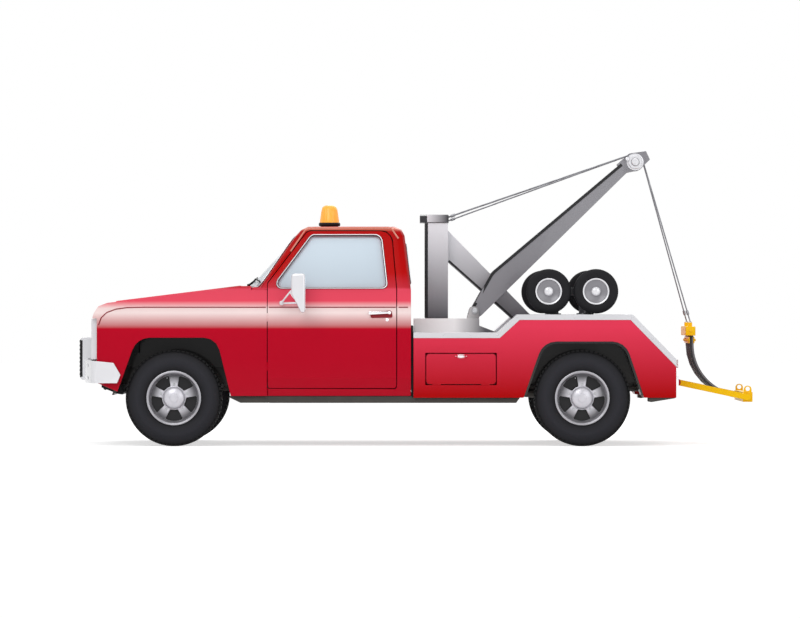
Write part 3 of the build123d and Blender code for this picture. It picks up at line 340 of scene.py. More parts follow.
def plate_part(outline, holes, place, thick, ease, grid=0.0):
    """A plate with rolled edges: place turns (a, b, depth) into a point, depth 0 being the outer face."""
    loops = []
    for i, loop in enumerate([outline, *holes]):
        clockwise = loop_area(loop) < 0
        loops.append(loop[::-1] if clockwise != (i > 0) else loop)
    flat_loops = [inset_loop(loop, ease) for loop in loops]
    points, edges = [], []
    for loop in flat_loops:
        first = len(points)
        points += loop
        edges += [(first + i, first + (i + 1) % len(loop)) for i in range(len(loop))]
    if grid:
        low = Vector((min(p.x for p in outline), min(p.y for p in outline)))
        high = Vector((max(p.x for p in outline), max(p.y for p in outline)))
        rows = range(1, int((high.y - low.y) / grid) + 1)
        for i in range(1, int((high.x - low.x) / grid) + 1):
            points += [Vector((low.x + i * grid, low.y + j * grid)) for j in rows]
    spots, _, found, *_ = delaunay_2d_cdt(points, edges, [], 1, 1e-7)
    faces = []
    for face in found:
        centre = sum((spots[i] for i in face), Vector((0, 0))) / len(face)
        if within(centre, flat_loops[0]) and not any(within(centre, hole) for hole in flat_loops[1:]):
            faces.append(face)
    used = sorted({i for face in faces for i in face})
    part = bmesh.new()
    outer = {i: part.verts.new(place(spots[i].x, spots[i].y, 0)) for i in used}
    inner = {i: part.verts.new(place(spots[i].x, spots[i].y, thick)) for i in used}
    for face in faces:
        part.faces.new([outer[i] for i in face])
        part.faces.new([inner[i] for i in reversed(face)])
    for loop, flat in zip(loops, flat_loops):
        rows = [[part.verts.new(place(p.x, p.y, 0)) for p in flat]]
        for step in range(1, RIM_STEPS + 1):
            angle = pi / 2 * step / RIM_STEPS
            share, depth = 1 - sin(angle), ease * (1 - cos(angle))
            rows.append([part.verts.new(place(*(p.lerp(f, share)), depth)) for p, f in zip(loop, flat)])
        rows.append([part.verts.new(place(p.x, p.y, thick)) for p in loop])
        rows.append([part.verts.new(place(p.x, p.y, thick)) for p in flat])
        for upper, lower in zip(rows, rows[1:]):
            for i in range(len(upper)):
                k = (i + 1) % len(upper)
                part.faces.new((upper[i], lower[i], lower[k], upper[k]))
    bmesh.ops.remove_doubles(part, verts=part.verts[:], dist=1e-5)
    bmesh.ops.recalc_face_normals(part, faces=part.faces[:])
    return part


def piece(name, form, finish, body="root", slot=None, replaces=(), smooth=38, side=1):
    """Turns a form into a piece that rides on a body; side -1 mirrors it to the left."""
    if side < 0:
        form.transform(Matrix.Diagonal((1, -1, 1, 1)))
        bmesh.ops.reverse_faces(form, faces=form.faces[:])
    mesh = bpy.data.meshes.new(name)
    form.to_mesh(mesh)
    form.free()
    mesh.shade_smooth()
    mesh.set_sharp_from_angle(angle=radians(smooth))
    mesh.materials.append(materials[finish])
    made = bpy.data.objects.new(name, mesh)
    bpy.context.scene.collection.objects.link(made)
    if body:
        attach(made, body)
    slot or SLOT_OF[finish]
    if replaces:
        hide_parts(*replaces)
    return made


# Shader groups


def group_of(name, inputs, outputs, kind="ShaderNodeTree"):
    """A new node group with the sockets that it reads and writes; inputs are (name, kind, default)."""
    group = bpy.data.node_groups.new(name, kind)
    for label, kind, default in inputs:
        socket = group.interface.new_socket(label, in_out="INPUT", socket_type="NodeSocket" + kind)
        if default is not None:
            socket.default_value = default
    for label, kind in outputs:
        group.interface.new_socket(label, in_out="OUTPUT", socket_type="NodeSocket" + kind)
    entry, out = group.nodes.new("NodeGroupInput"), group.nodes.new("NodeGroupOutput")
    return group, entry.outputs, out.inputs


def link(source, target):
    """Links a source socket to a target, or sets the target to a number, a colour or a direction."""
    if isinstance(source, bpy.types.NodeSocket):
        target.id_data.links.new(source, target)
    elif isinstance(source, (int, float)):
        target.default_value = source
    else:
        target.default_value = (*source[:3], 1)[: len(target.default_value)]


def node_in(tree, kind, **values):
    """A node with its properties and inputs set."""
    node = tree.nodes.new(kind)
    for key, value in values.items():
        if key in node.inputs:
            link(value, node.inputs[key])
        else:
            setattr(node, key, value)
    return node


def maths(tree, operation, a, b=0.5, clamp=False):
    node = node_in(tree, "ShaderNodeMath", operation=operation, use_clamp=clamp)
    link(a, node.inputs[0])
    link(b, node.inputs[1])
    return node.outputs[0]


def measured(tree, operation, a, b):
    """The distance or the dot product of two vectors."""
    node = node_in(tree, "ShaderNodeVectorMath", operation=operation)
    link(a, node.inputs[0])
    link(b, node.inputs[1])
    return node.outputs["Value"]


def plus(tree, a, b, clamp=False):
    return maths(tree, "ADD", a, b, clamp)


def less(tree, a, b, clamp=False):
    return maths(tree, "SUBTRACT", a, b, clamp)


def times(tree, a, b, clamp=False):
    return maths(tree, "MULTIPLY", a, b, clamp)


def mixed(tree, factor, a, b):
    node = node_in(tree, "ShaderNodeMix", data_type="RGBA")
    for socket, value in ((node.inputs[0], factor), (node.inputs[6], a), (node.inputs[7], b)):
        link(value, socket)
    return node.outputs[2]


def object_place(tree):
    return tree.nodes.new("ShaderNodeTexCoord").outputs["Object"]


def build_mottle():
    """Soft patches that darken a colour a little, and a mask for its roughness."""
    inputs = (
        ("Colour", "Color", (0.5, 0.5, 0.5, 1)),
        ("Scale", "Float", 4.0),
        ("Amount", "Float", 0.1),
    )
    group, entry, out = group_of("Mottle", inputs, (("Colour", "Color"), ("Mask", "Float")))
    place = object_place(group)
    noise = node_in(group, "ShaderNodeTexNoise", Vector=place, Scale=entry["Scale"], Detail=6.0)
    spread = times(group, less(group, noise.outputs["Fac"], 0.5), 2.0)
    mask = times(group, spread, entry["Amount"])
    shade = plus(group, mask, 1.0)
    scaled = node_in(group, "ShaderNodeVectorMath", operation="SCALE")
    link(entry["Colour"], scaled.inputs[0])
    link(shade, scaled.inputs["Scale"])
    link(scaled.outputs[0], out["Colour"])
    link(mask, out["Mask"])
    return group


def build_grain():
    """Fine height for a bump: pebbles of one size with a softer second layer."""
    inputs = (("Scale", "Float", 400.0), ("Strength", "Float", 1.0))
    group, entry, out = group_of("Grain", inputs, (("Height", "Float"),))
    place = object_place(group)
    fine = node_in(group, "ShaderNodeTexNoise", Vector=place, Scale=entry["Scale"], Detail=3.0)
    coarse_scale = times(group, entry["Scale"], 0.23)
    coarse = node_in(group, "ShaderNodeTexVoronoi", Vector=place, Scale=coarse_scale)
    both = plus(group, fine.outputs["Fac"], times(group, coarse.outputs["Distance"], 0.5))
    link(times(group, both, entry["Strength"]), out["Height"])
    return group


def build_dust():
    """Road film that gathers towards the ground and breaks up upwards."""
    inputs = (
        ("Colour", "Color", (0.5, 0.5, 0.5, 1)),
        ("Dust", "Color", (*tone("8C8478"), 1)),
        ("Top", "Float", 0.9),
        ("Amount", "Float", 0.25),
    )
    group, entry, out = group_of("Road film", inputs, (("Colour", "Color"), ("Mask", "Float")))
    place = object_place(group)
    split = node_in(group, "ShaderNodeSeparateXYZ", Vector=place)
    share = maths(group, "DIVIDE", split.outputs["Z"], entry["Top"])
    low = less(group, 1.0, share, clamp=True)
    noise = node_in(group, "ShaderNodeTexNoise", Vector=place, Scale=9.0, Detail=7.0)
    broken = times(group, low, plus(group, noise.outputs["Fac"], 0.4))
    mask = times(group, broken, entry["Amount"], clamp=True)
    link(mixed(group, mask, entry["Colour"], entry["Dust"]), out["Colour"])
    link(mask, out["Mask"])
    return group


def build_fade():
    """A colour that runs from one to another between two distances along a direction."""
    inputs = (
        ("First colour", "Color", (0, 0, 0, 1)),
        ("Last colour", "Color", (1, 1, 1, 1)),
        ("Direction", "Vector", (0, 0, 1)),
        ("First", "Float", 0.0),
        ("Last", "Float", 1.0),
    )
    group, entry, out = group_of("Fade", inputs, (("Colour", "Color"), ("Share", "Float")))
    reach = measured(group, "DOT_PRODUCT", object_place(group), entry["Direction"])
    span = less(group, entry["Last"], entry["First"])
    rise = less(group, reach, entry["First"])
    share = maths(group, "DIVIDE", rise, span, clamp=True)
    colour = mixed(group, share, entry["First colour"], entry["Last colour"])
    link(colour, out["Colour"])
    link(share, out["Share"])
    return group


def build_ring_shade():
    """A mask that peaks on a ring round either axle and falls away in and out of it, for painted shade and
    highlight on the wheels.
    """
    inputs = (
        ("Front", "Vector", (0, 0, 0)),
        ("Rear", "Vector", (1, 0, 0)),
        ("Ring", "Float", 0.3),
        ("Width", "Float", 0.1),
    )
    group, entry, out = group_of("Ring shade", inputs, (("Mask", "Float"),))
    split = node_in(group, "ShaderNodeSeparateXYZ", Vector=object_place(group))
    across = node_in(group, "ShaderNodeCombineXYZ", X=split.outputs["X"], Z=split.outputs["Z"])
    reaches = []
    for end in ("Front", "Rear"):
        reaches.append(measured(group, "DISTANCE", across.outputs[0], entry[end]))
    radius = maths(group, "MINIMUM", *reaches)
    off = maths(group, "ABSOLUTE", less(group, radius, entry["Ring"]), 0.0)
    fall = maths(group, "DIVIDE", off, entry["Width"], clamp=True)
    link(less(group, 1.0, maths(group, "POWER", fall, 1.5)), out["Mask"])
    return group


def build_edge_wear():
    """A mask of worn corners: where a rounded normal leaves the true one, broken by noise."""
    inputs = (("Reach", "Float", 0.006), ("Amount", "Float", 0.5))
    group, entry, out = group_of("Edge wear", inputs, (("Mask", "Float"),))
    bevel = node_in(group, "ShaderNodeBevel", samples=3)
    link(entry["Reach"], bevel.inputs["Radius"])
    shape = group.nodes.new("ShaderNodeNewGeometry")
    dot = measured(group, "DOT_PRODUCT", bevel.outputs[0], shape.outputs["Normal"])
    bent = less(group, 1.0, dot)
    sharp = times(group, bent, 6.0, clamp=True)
    noise = node_in(group, "ShaderNodeTexNoise", Vector=object_place(group), Scale=38.0, Detail=5.0)
    broken = maths(group, "GREATER_THAN", times(group, sharp, noise.outputs["Fac"]), 0.22)
    link(times(group, broken, entry["Amount"]), out["Mask"])
    return group


def build_checker_plate():
    """Height of raised lozenges in two directions, as on a tread plate."""
    inputs = (("Pitch", "Float", 0.045),)
    group, entry, out = group_of("Tread plate", inputs, (("Height", "Float"),))
    split = node_in(group, "ShaderNodeSeparateXYZ", Vector=object_place(group))
    slanted = []
    for sign in ("ADD", "SUBTRACT"):
        sum_of = maths(group, sign, split.outputs["X"], split.outputs["Y"])
        slanted.append(maths(group, "DIVIDE", sum_of, entry["Pitch"]))
    cells = [maths(group, "FLOOR", value, 0.0) for value in slanted]
    parity = maths(group, "MODULO", plus(group, cells[0], cells[1]), 2.0)
    parity = maths(group, "GREATER_THAN", maths(group, "ABSOLUTE", parity, 0.0), 0.5)
    inside = []
    for value in slanted:
        centred = less(group, maths(group, "FRACT", value, 0.0), 0.5)
        inside.append(maths(group, "ABSOLUTE", centred, 0.0))
    heights = []
    for long, wide in (inside, inside[::-1]):
        squares = [maths(group, "POWER", times(group, v, k), 2.0) for v, k in ((long, 2.3), (wide, 8.0))]
        heights.append(less(group, 1.0, plus(group, *squares), clamp=True))
    first = times(group, heights[0], parity)
    second = times(group, heights[1], less(group, 1.0, parity))
    link(plus(group, first, second), out["Height"])
    return group


GROUP_BUILDERS = {
    "Mottle": build_mottle,
    "Grain": build_grain,
    "Road film": build_dust,
    "Fade": build_fade,
    "Ring shade": build_ring_shade,
    "Edge wear": build_edge_wear,
    "Tread plate": build_checker_plate,
}


def grouped(tree, name, **values):
    """Places a shader group, built on first use, with its inputs set or linked."""
    group = bpy.data.node_groups.get(name) or GROUP_BUILDERS[name]()
    node = tree.nodes.new("ShaderNodeGroup")
    node.node_tree = group
    for key, value in values.items():
        link(value, node.inputs[key])
    return node


# Materials


def blank(name, roughness=0.5, metallic=0.0, coat=0.0, more={}):
    """A material with its Principled BSDF, ready for a colour and a bump."""
    material = bpy.data.materials.new(name)
    material.use_nodes = True
    shader = material.node_tree.nodes["Principled BSDF"]
    shader.inputs["Roughness"].default_value = roughness
    shader.inputs["Metallic"].default_value = metallic
    shader.inputs["Coat Weight"].default_value = coat
    for key, value in more.items():
        link(value, shader.inputs[key])
    return material, material.node_tree, shader


def bumped(shader, height, distance, strength=1.0):
    bump = node_in(shader.id_data, "ShaderNodeBump", Strength=strength, Distance=distance, Height=height)
    link(bump.outputs[0], shader.inputs["Normal"])


def grained(shader, scale, depth):
    bumped(shader, grouped(shader.id_data, "Grain", Scale=scale, Strength=1.0).outputs["Height"], depth)


def mottled(shader, colour, scale, amount):
    """Feeds the base colour with soft patches of a colour and gives back their mask."""
    patch = grouped(shader.id_data, "Mottle", Colour=colour, Scale=scale, Amount=amount)
    link(patch.outputs["Colour"], shader.inputs["Base Color"])
    return patch.outputs["Mask"]


def rough_spread(shader, base, mask, reach):
    """Lets a mask move the roughness a little either way."""
    tree = shader.id_data
    value = plus(tree, times(tree, mask, reach), base, clamp=True)
    link(value, shader.inputs["Roughness"])


def painted(
    name, colour_of, roughness, coat=0.1, wear=0.0, film=0.0, film_top=0.8, metal=0.0, mottle=0.05, gloss=0.25
):
    """Paint over metal: a colour, soft mottling, road film low down and worn edges."""
    material, tree, shader = blank(name, roughness, metal, coat, {"Specular IOR Level": gloss})
    patch = grouped(tree, "Mottle", Colour=colour_of(tree), Scale=3.0, Amount=mottle)
    colour, mask = patch.outputs["Colour"], patch.outputs["Mask"]
    if film:
        dust = grouped(tree, "Road film", Colour=colour, Top=film_top, Amount=film)
        colour = dust.outputs["Colour"]
        mask = plus(tree, mask, dust.outputs["Mask"])
    if wear:
        edges = grouped(tree, "Edge wear", Reach=0.004, Amount=wear)
        colour = mixed(tree, edges.outputs["Mask"], colour, tone("8E8D8C"))
    link(colour, shader.inputs["Base Color"])
    rough_spread(shader, roughness, mask, 0.9)
    grained(shader, 160.0, 0.00006)
    return material


def solid(tree, colour):
    source = tree.nodes.new("ShaderNodeRGB").outputs[0]
    source.default_value = (*colour[:3], 1)
    return source


def flat(colour):
    """A colour source that is the same all over."""
    return lambda tree: solid(tree, colour)


UPWARD = (0.0, 0.0, 1.0)
BACKWARD = (1.0, 0.0, 0.0)


def fading(first, last, low, high, direction=UPWARD):
    """A colour source that runs between two places along a direction."""

    def source(tree):
        colours_of = {"First colour": first, "Last colour": last}
        fade = grouped(tree, "Fade", **colours_of, First=low, Last=high, Direction=direction)
        return fade.outputs["Colour"]

    return source


def fading_back(first, last, near, far):
    """A colour source between two tones that runs back from the front axle."""
    return fading(tone(first), tone(last), front_axle + near, front_axle + far, BACKWARD)


def painted_ring_shading(dark, light, ring, width):
    """A colour source that is light on a ring round each wheel's middle and dark in and out of it: painted
    shade and highlight on the wheels.
    """

    def source(tree):
        ends = {"Front": at(0, 0, axle_high), "Rear": at(wheelbase, 0, axle_high)}
        shade = grouped(tree, "Ring shade", Ring=ring, Width=width, **ends)
        return mixed(tree, shade.outputs["Mask"], dark, light)

    return source


def body_reds_and_painted_highlights(tree):
    """The body's red by height: deep, a painted highlight at the crease, painted sky reflection above it,
    deep on the pillars.
    """
    c = colours()
    deep, bright, pale, roof = (Vector(v) for v in (c.red_deep, c.red_painted_sheen, c.red_crease_highlight, c.roof_red))
    bands = (
        (0.4, deep * 0.95),
        (0.935, deep),
        (0.962, deep * 1.05),
        (0.992, deep.lerp(pale, 0.28)),
        (1.025, deep.lerp(pale, 0.48)),
        (1.06, deep.lerp(pale, 0.74)),
        (1.092, pale),
        (1.128, deep.lerp(pale, 0.9)),
        (1.155, bright.lerp(pale, 0.42)),
        (1.188, bright * 1.04),
        (1.285, bright * 0.96),
        (1.3, roof.lerp(bright, 0.35)),
        (1.42, roof * 1.1),
        (1.76, roof),
        # A painted orange highlight along the roof edge
        (1.784, roof.lerp(Vector(tone("E89078")), 0.8)),
        (1.797, Vector(tone("D2664C"))),
        (1.7995, roof * 1.1),
    )
    low, high = bands[0][0], bands[-1][0]
    split = node_in(tree, "ShaderNodeSeparateXYZ", Vector=object_place(tree))
    share = maths(tree, "DIVIDE", less(tree, split.outputs["Z"], low), high - low, clamp=True)
    ramp = node_in(tree, "ShaderNodeValToRGB", Fac=share)
    stops = ramp.color_ramp.elements
    while len(stops) < len(bands):
        stops.new(0.5)
    for stop, (height, colour) in zip(stops, bands):
        stop.position = (height - low) / (high - low)
        stop.color = (*colour, 1)
    return ramp.outputs["Color"]


def metal_finish(name, colour, roughness, scale, film=0.0, metallic=1.0, depth=0.00015):
    """Bare or plated metal with fine marks in its roughness."""
    material, tree, shader = blank(name, roughness, metallic)
    patch = grouped(tree, "Mottle", Colour=solid(tree, colour), Scale=14.0, Amount=0.08)
    shade, mask = patch.outputs["Colour"], patch.outputs["Mask"]
    if film:
        dust = grouped(tree, "Road film", Colour=shade, Top=0.9, Amount=film)
        shade = dust.outputs["Colour"]
    link(shade, shader.inputs["Base Color"])
    rough_spread(shader, roughness, mask, 1.2)
    grained(shader, scale, depth)
    return material


def moulded(name, colour_of, roughness, scale, depth, sheen=0.0):
    """Rubber, vinyl or plastic: one colour with a moulded grain."""
    material, tree, shader = blank(name, roughness, more={"Specular IOR Level": 0.2, "Sheen Weight": sheen})
    mask = mottled(shader, colour_of(tree), 11.0, 0.12)
    rough_spread(shader, roughness, mask, 0.8)
    grained(shader, scale, depth)
    return material


def window_glass():
    """Tinted glass that is paler towards its top: painted sky reflection."""
    clear = {"Transmission Weight": 0.08, "IOR": 1.45, "Specular IOR Level": 0.2, "Alpha": 0.93}
    material, tree, shader = blank("Window glass", 0.12, more=clear)
    tint = Vector(colours().glass_tint)
    link(fading(tint * 0.98, tint * 1.22, 1.29, 1.72)(tree), shader.inputs["Base Color"])
    return material


def ribs_along(tree, axis, count):
    """Waves of height along an axis, count radians in a metre."""
    split = node_in(tree, "ShaderNodeSeparateXYZ", Vector=object_place(tree))
    return maths(tree, "SINE", times(tree, split.outputs[axis], count), 0.0)


def lens_material(name, colour, roughness=0.12, transmission=0.35, glow=0.0):
    """Moulded lens plastic with fine vertical ribs under its skin."""
    clear = {"Transmission Weight": transmission, "Specular IOR Level": 0.3, "IOR": 1.49}
    if glow:
        clear |= {"Emission Color": colour, "Emission Strength": glow}
    material, tree, shader = blank(name, roughness, coat=0.3, more=clear)
    mottled(shader, solid(tree, colour), 20.0, 0.05)
    bumped(shader, ribs_along(tree, "Y", 700.0), 0.0006, 0.6)
    return material


def bulb_material():
    """Frosted bulb that glows through the dome."""
    glow = {"Emission Color": (1.0, 0.85, 0.55), "Emission Strength": 1.2}
    material, tree, shader = blank("Bulb glass", 0.4, more=glow)
    mottled(shader, solid(tree, tone("FFF1D0")), 30.0, 0.05)
    return material


def deck_finish():
    """Painted plate with raised lozenges."""
    material, tree, shader = blank("Deck tread plate", 0.42, 0.35)
    mask = mottled(shader, solid(tree, colours().cap_grey), 6.0, 0.06)
    rough_spread(shader, 0.4, mask, 1.0)
    plate = grouped(tree, "Tread plate", Pitch=0.034)
    bumped(shader, plate.outputs["Height"], 0.0012)
    return material


def belt_finish():
    """Rubberised belt with the weave of its plies showing."""
    material, tree, shader = blank("Belt rubber", 0.62)
    mottled(shader, solid(tree, tone("1B1B1E")), 9.0, 0.2)
    weave = times(tree, ribs_along(tree, "Y", 1500.0), ribs_along(tree, "Z", 1500.0))
    bumped(shader, weave, 0.0005)
    return material


def material_table():
    """Every finish by name, built once."""
    c = colours()
    tyre_black, silver = Vector(c.tyre_black), Vector(c.rim_silver)
    return {
        # The body's red carries painted highlights at the crease and the roof edge, and painted sky
        # reflection above the crease
        "body": painted("Body red", body_reds_and_painted_highlights, 0.34, 0.02, film=0.04, film_top=0.7, mottle=0.03, gloss=0.08),
        # Painted shade: the bed's red runs from deep at the sill to lighter under the cap
        "bed": painted(
            "Wrecker body red", fading(c.bed_red_shaded_foot, c.bed_red_lit_top, 0.42, 0.98), 0.34, 0.02,
            film=0.02, film_top=0.6, mottle=0.03, gloss=0.06,
        ),
        "black": painted("Chassis black", flat(tone("131316")), 0.42, 0.2, wear=0.25, film=0.3),
        "axle": metal_finish("Axle steel", tone("2B2B2D"), 0.6, 90.0, 0.4, 0.5, 0.0005),
        "cast": metal_finish("Engine casting", tone("4A4C50"), 0.62, 70.0, 0.2, 0.4, 0.0008),
        "exhaust": metal_finish("Exhaust steel", tone("75706A"), 0.45, 60.0, film=0.35, depth=0.0003),
        "glass": window_glass(),
        "vinyl": moulded("Bench vinyl", flat(tone("2C2C31")), 0.52, 260.0, 0.0004, sheen=0.15),
        "plastic": moulded("Black plastic", flat(tone("1D1D20")), 0.55, 420.0, 0.00025),
        "trim": moulded("Grey cab trim", flat(tone("5B5B60")), 0.6, 300.0, 0.0003),
        "seal": moulded("Window rubber", flat(tone("101012")), 0.5, 500.0, 0.0001),
        "chrome": metal_finish("Bright plating", tone("E6E7EA"), 0.14, 500.0, depth=0.00003),
        "white_metal": painted("Bright white trim", flat(tone("E4E4E8")), 0.25, 0.5, metal=0.25, mottle=0.02),
        "lens": lens_material("Clear lens", tone("E8EAEE")),
        "amber_lens": lens_material("Amber lens", tone("F07E10"), 0.2, 0.1),
        "red_lens": lens_material("Red lens", tone("A80A0C"), 0.2, 0.05),
        "beacon": lens_material("Beacon lens", c.amber, 0.18, 0.25, 0.25),
        "cap": painted("Light cap paint", flat(c.cap_grey), 0.35, 0.2, wear=0.3, metal=0.1),
        "deck": deck_finish(),
        # Painted shade: the pedestal runs from white at its front to dark grey at its back
        "pedestal": painted("Pedestal grey", fading_back("FFFFFF", "5A595E", 2.3, 2.56), 0.35, 0.1, wear=0.1),
        # Painted shade: the mast runs from dark grey at its foot to pale grey at its head
        "mast": painted(
            "Mast grey", fading(c.mast_shaded_foot, c.mast_lit_top, 1.04, 1.84), 0.32, 0.25, wear=0.3, metal=0.2
        ),
        "dark": painted("Dark grey paint", flat(tone("2E2E33")), 0.4, 0.2, wear=0.35),
        "boom": painted("Boom grey", flat(c.boom_grey), 0.33, 0.25, wear=0.35, metal=0.25),
        # Black for the strips and the wheel disc that paint shade, and for the grille mesh
        "shade_and_grille_black": painted("Black shade strips and grille", flat(tone("17171A")), 0.45, 0.1, wear=0.2),
        "rope": metal_finish("Wire rope", tone("8A8A8E"), 0.4, 300.0),
        # Painted shade: the rim's silver darkens on a ring near the outer ends of the spokes
        "rim": painted(
            "Rim silver", painted_ring_shading(silver, silver * 0.3, 0.176, 0.062), 0.3, 0.1,
            metal=0.3, film=0.05, film_top=0.6,
        ),
        # Painted light: the tyre is lighter on a ring round the sidewall's middle, a painted highlight, and
        # near black in and out of it, painted shade
        "tyre": moulded(
            "Tyre rubber", painted_ring_shading(tyre_black * 0.15, tyre_black * 2.4, 0.3, 0.085), 0.62, 180.0, 0.0005
        ),
        "dolly_tyre": moulded("Dolly tyre rubber", flat(tyre_black * 0.8), 0.62, 180.0, 0.0005),
        "yellow": painted("Sling yellow", flat(c.sling_yellow), 0.35, 0.05, wear=0.2, gloss=0.1),
        "belt": belt_finish(),
        # A grey that paints a highlight along the belts' edges and inner faces
        "belt_highlight": moulded("Belt edge", flat(tone("7A797E")), 0.6, 300.0, 0.0003),
        "steel": metal_finish("Zinc bolts", tone("B4B5B8"), 0.35, 300.0),
        # A dark red for the seams and mouldings, and for the painted shade of the door handle's recess
        "line_red": painted("Seam and recess shade red", flat(Vector(c.red_deep) * 0.5), 0.3, 0.1),
        # A pale orange red on the drip rails: the painted highlight of the roof edge
        "roof": painted("Roof rail painted highlight", flat(tone("D98A78")), 0.3, 0.1),
        "mirror": metal_finish("Mirror glass", tone("DDE4EA"), 0.04, 500.0, depth=0.00001),
        "bulb": bulb_material(),
        # Painted shade: the mast head's covers run from pale grey at the front to dark grey at the back
        "head_painted_shade": painted("Mast head painted shade", fading_back("E6E5EA", "38373C", 2.08, 2.25), 0.34, 0.1),
    }


materials = {}
# The record's slot for each finish, unless the piece names another; piece() looks it up but gives it to
# nothing
SLOT_OF = {
    finish: slot
    for slot, finishes in {
        "amber": "beacon",
        "belt_rubber": "belt_highlight",
        "black_paint": "black",
        "black_plastic": "plastic seal",
        "chrome": "chrome white_metal",
        "dark_grey_paint": "shade_and_grille_black",
        "glass": "mirror",
        "grey_deck": "cap deck",
        "grey_paint": "boom",
        "lamp_glass": "amber_lens bulb lens red_lens",
        "light_grey_paint": "head_painted_shade",
        "red_paint": "line_red roof",
        "rim_silver": "rim",
        "seat_vinyl": "trim vinyl",
        "tyre": "dolly_tyre tyre",
        "wire_rope": "rope",
        "yellow_paint": "yellow",
    }.items()
    for finish in finishes.split()
}


# Solids that keep their own mesh


def weight_long_edges():
    """Geometry group that marks long enough, sharp enough edges for the bevel."""
    inputs = (("Geometry", "Geometry", None), ("Angle", "Float", None), ("Least length", "Float", None))
    group, entry, out = group_of("Mark edges", inputs, (("Geometry", "Geometry"),), "GeometryNodeTree")
    angle = group.nodes.new("GeometryNodeInputMeshEdgeAngle")
    ends = group.nodes.new("GeometryNodeInputMeshEdgeVertices")
    span = measured(group, "DISTANCE", ends.outputs["Position 1"], ends.outputs["Position 2"])
    sharp = maths(group, "GREATER_THAN", angle.outputs["Unsigned Angle"], entry["Angle"])
    long = maths(group, "GREATER_THAN", span, entry["Least length"])
    store = node_in(group, "GeometryNodeStoreNamedAttribute", data_type="FLOAT", domain="EDGE")
    store.inputs["Name"].default_value = "bevel_weight_edge"
    link(entry["Geometry"], store.inputs["Geometry"])
    link(times(group, sharp, long), store.inputs["Value"])
    link(store.outputs["Geometry"], out["Geometry"])
    return group


def smooth_by_angle():
    """Geometry group that shades smooth up to an angle."""
    inputs = (("Geometry", "Geometry", None), ("Angle", "Float", None))
    group, entry, out = group_of("Shade by angle", inputs, (("Geometry", "Geometry"),), "GeometryNodeTree")
    angle = group.nodes.new("GeometryNodeInputMeshEdgeAngle")
    sharp = maths(group, "GREATER_THAN", angle.outputs["Unsigned Angle"], entry["Angle"])
    faces = node_in(group, "GeometryNodeSetShadeSmooth", domain="FACE")
    faces.inputs["Shade Smooth"].default_value = True
    edges = node_in(group, "GeometryNodeSetShadeSmooth", domain="EDGE")
    edges.inputs["Shade Smooth"].default_value = False
    link(entry["Geometry"], faces.inputs["Geometry"])
    link(faces.outputs["Geometry"], edges.inputs["Geometry"])
    link(sharp, edges.inputs["Selection"])
    link(edges.outputs["Geometry"], out["Geometry"])
    return group


def node_modifier(target, name, builder, **values):
    modifier = target.modifiers.new(name, "NODES")
    modifier.node_group = bpy.data.node_groups.get(name) or builder()
    for item in modifier.node_group.interface.items_tree:
        if item.in_out == "INPUT" and item.name in values:
            modifier[item.identifier] = values[item.name]


KEPT_TRIANGLES = {"door_left", "door_right", "frame", "grille", "tail_panel", "dolly_frames"}


def eased(node, material, width, limit, least, smooth):
    """Gives a solid its finish, rounds its long sharp edges and shades it smooth."""
    width = sizes().edge_ease if width is None else width
    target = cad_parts[node]
    if not target.material_slots:
        target.data.materials.append(material)
    for slot in target.material_slots:
        slot.material = material
    weld = target.modifiers.new("Weld", "WELD")
    weld.merge_threshold = 0.00005
    if node not in KEPT_TRIANGLES:
        merge = target.modifiers.new("Merge flats", "DECIMATE")
        merge.decimate_type = "DISSOLVE"
        merge.angle_limit = radians(0.6)
    if width:
        marks = {"Angle": radians(limit), "Least length": least}
        node_modifier(target, "Mark edges", weight_long_edges, **marks)
        bevel = target.modifiers.new("Ease", "BEVEL")
        bevel.limit_method = "WEIGHT"
        bevel.width = width
        bevel.segments = 2
        bevel.use_clamp_overlap = False
    node_modifier(target, "Shade by angle", smooth_by_angle, Angle=radians(smooth))
    target.modifiers.new("Even normals", "WEIGHTED_NORMAL").keep_sharp = True


